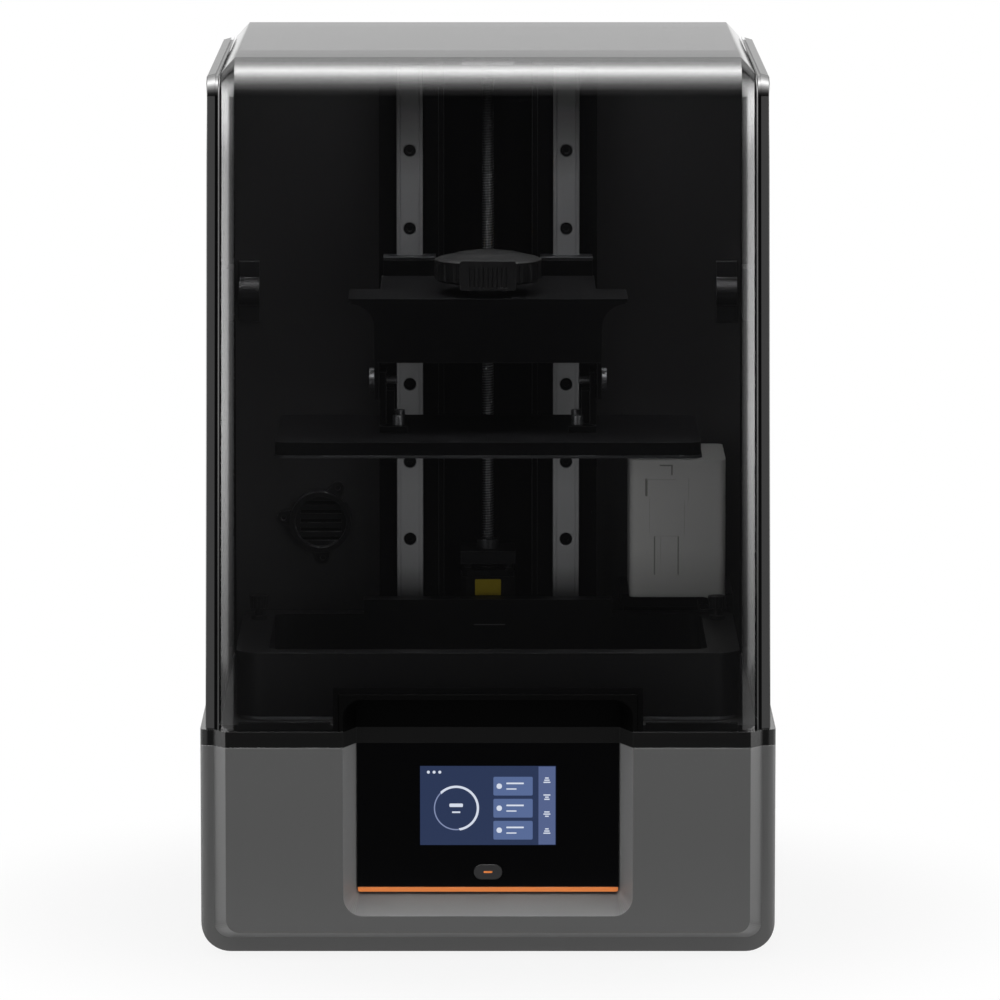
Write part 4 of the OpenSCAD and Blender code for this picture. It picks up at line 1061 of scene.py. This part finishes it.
# %% Dash on the power button
button_low, button_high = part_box("power_button")
button_x, button_z = (button_low.x + button_high.x) / 2, (button_low.z + button_high.z) / 2
dashes = [(button_x, button_z, 0.0066, 0.0014, 0.0006)]
dash_orange = surface("dash_orange", ORANGE, 0.35, cloud=0.02, rounding=0.0)
dash_front = button_low.y - LAYER
dash = tile_piece("button_dash", dashes, dash_front, 3 * LAYER, "button", dash_orange)
print("dash:", [round(v, 4) for v in dash.dimensions])

# %% [markdown]
# ## Small things inside the hood
# The lead screw has a 2 mm thread. A fine bump would not show against the light, so the ridge is real:
# one small four-sided profile, turned up round the screw by a screw modifier.

# %% Thread of the lead screw
SCREW_Y = (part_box("lead_screw")[0].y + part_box("lead_screw")[1].y) / 2
SCREW_R, THREAD_PITCH, THREAD_RISE = 0.004, 0.002, 0.0005
THREAD_LOW, THREAD_HIGH = 0.2698, 0.6262
PROFILE_OUT = 0.0001  # the profile's middle lies this far outside the screw's face
FOOT_SHARE = 0.7  # the ridge's width at its foot, as a share of the pitch
CREST_SHARE = 0.35  # its width at the crest, as a share of that at the foot
lay_aside()
ridge_middle = (SCREW_R + PROFILE_OUT, 0, 0)
bpy.ops.mesh.primitive_plane_add(size=1, location=ridge_middle, rotation=(math.pi / 2, 0, 0))
thread = bpy.context.object
thread.name = "screw_thread"
thread.scale = (2 * (THREAD_RISE - PROFILE_OUT), FOOT_SHARE * THREAD_PITCH, 1)
apply_place()
edit_mode()
bpy.ops.mesh.delete(type="ONLY_FACE")
pick(lambda p: p.x > SCREW_R)
bpy.ops.transform.resize(value=(1, 1, CREST_SHARE), center_override=(SCREW_R, 0, 0))
object_mode()
turns = thread.modifiers.new("turns", "SCREW")
turns.axis = "Z"
turns.screw_offset = THREAD_PITCH
turns.iterations = round((THREAD_HIGH - THREAD_LOW) / THREAD_PITCH)
turns.steps = turns.render_steps = 12
turns.use_merge_vertices = False
print("thread:", turns.iterations, "turns")

# %% [markdown]
# The modifier is applied, the thread is lifted to its place on the screw, and its two open ends are
# closed. It takes a steel finish with the same painted shade along its height as the screw's own.

# %% Thread in place
finish_modifiers(thread)
thread.location = (0, SCREW_Y, THREAD_LOW)
edit_mode()
pick_all()
bpy.ops.mesh.fill_holes(sides=0)
settle(thread, "screw", smooth=40)
thread_steel = surface("thread_steel", "b0b1b4", 0.3, metal=0.85, rounding=0.0)
shade_along_height(thread_steel, RAIL_SHADE)
thread.data.materials.append(thread_steel)
print("thread in place:", len(thread.data.polygons), "faces")

# %% [markdown]
# The feeding box has moulded marks on its front: two angles near the top and two slots below, with fine
# steps beside them. All are thin tiles that stand a tenth of a millimetre or so proud of the face.
# Their
# greys are painted shade: the angles and slots are a clear grey for the shade in their hollows, and the
# steps are a little darker than the box for the shade along the small steps.

# %% Marks on the feeding box
BOX_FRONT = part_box("feed_box")[0].y
MARK_DEEP = 0.0004
slot_tiles = [
    (0.1362, 0.3336, 0.0100, 0.0011, 0.0003), (0.1405, 0.3299, 0.0012, 0.0076, 0.0003),
    (0.1210, 0.3167, 0.0018, 0.0136, 0.0003), (0.1274, 0.2641, 0.0010, 0.0298, 0.0003),
    (0.1455, 0.2641, 0.0010, 0.0298, 0.0003),
]
# painted shade: the grey of the angles and slots stands for the shade in their hollows
slot_painted_shade = surface("slot_painted_shade", "a8a8a5", 0.6, rounding=0.0)
tile_piece("feed_box_slots", slot_tiles, BOX_FRONT - 0.0001, MARK_DEEP, "base", slot_painted_shade)
step_tiles = [
    (0.1325, 0.3226, 0.0230, 0.0006, 0.0002), (0.1235, 0.2947, 0.0006, 0.0286, 0.0002),
    (0.1501, 0.2928, 0.0007, 0.0266, 0.0002), (0.1533, 0.3157, 0.0006, 0.0172, 0.0002),
    (0.1321, 0.2641, 0.0007, 0.0298, 0.0002), (0.1364, 0.2791, 0.0180, 0.0005, 0.0002),
]
# painted shade: a grey a little darker than the box, for the shade along the small steps
step_painted_shade = surface("step_painted_shade", "dcdcd9", 0.55, rounding=0.0)
tile_piece("feed_box_steps", step_tiles, BOX_FRONT - 0.00015, MARK_DEEP, "base", step_painted_shade)
print("box marks:", len(slot_tiles), "slots and", len(step_tiles), "steps")

# %% [markdown]
# Inside the vat a short pale line marks how far it may be filled, and the mains inlet at the rear has
# its three pins, which lie in the socket's hollow.

# %% Fill line and inlet pins
FILL_Y, FILL_Z = 0.047, 0.2115
fill_tile = (0.0012, FILL_Z, 0.0240, 0.0007, 0.0003)
line_grey = surface("line_grey", "5c5c5e", 0.5, rounding=0.0)
tile_piece("vat_fill_line", [fill_tile], FILL_Y - 0.0001, MARK_DEEP, "base", line_grey)
PIN_ROOT, PIN_LONG = 0.0172, 0.0135  # how deep the pins start in the inlet, and their length
PIN_PLACES = ((-0.007, -0.001), (0, 0.003), (0.007, -0.001))
inlet_low, inlet_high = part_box("inlet")
inlet_x, inlet_z = (inlet_low.x + inlet_high.x) / 2, (inlet_low.z + inlet_high.z) / 2
pins = [(inlet_x + dx, inlet_z + dz, 0.0020, 0.0040, 0.0004) for dx, dz in PIN_PLACES]
pin_brass = surface("pin_brass", "c8b68a", 0.3, metal=0.9, rounding=0.0)
tile_piece("inlet_pins", pins, inlet_high.y - PIN_ROOT, PIN_LONG, "base", pin_brass)
print("fill line at", FILL_Z, "and", len(pins), "pins")
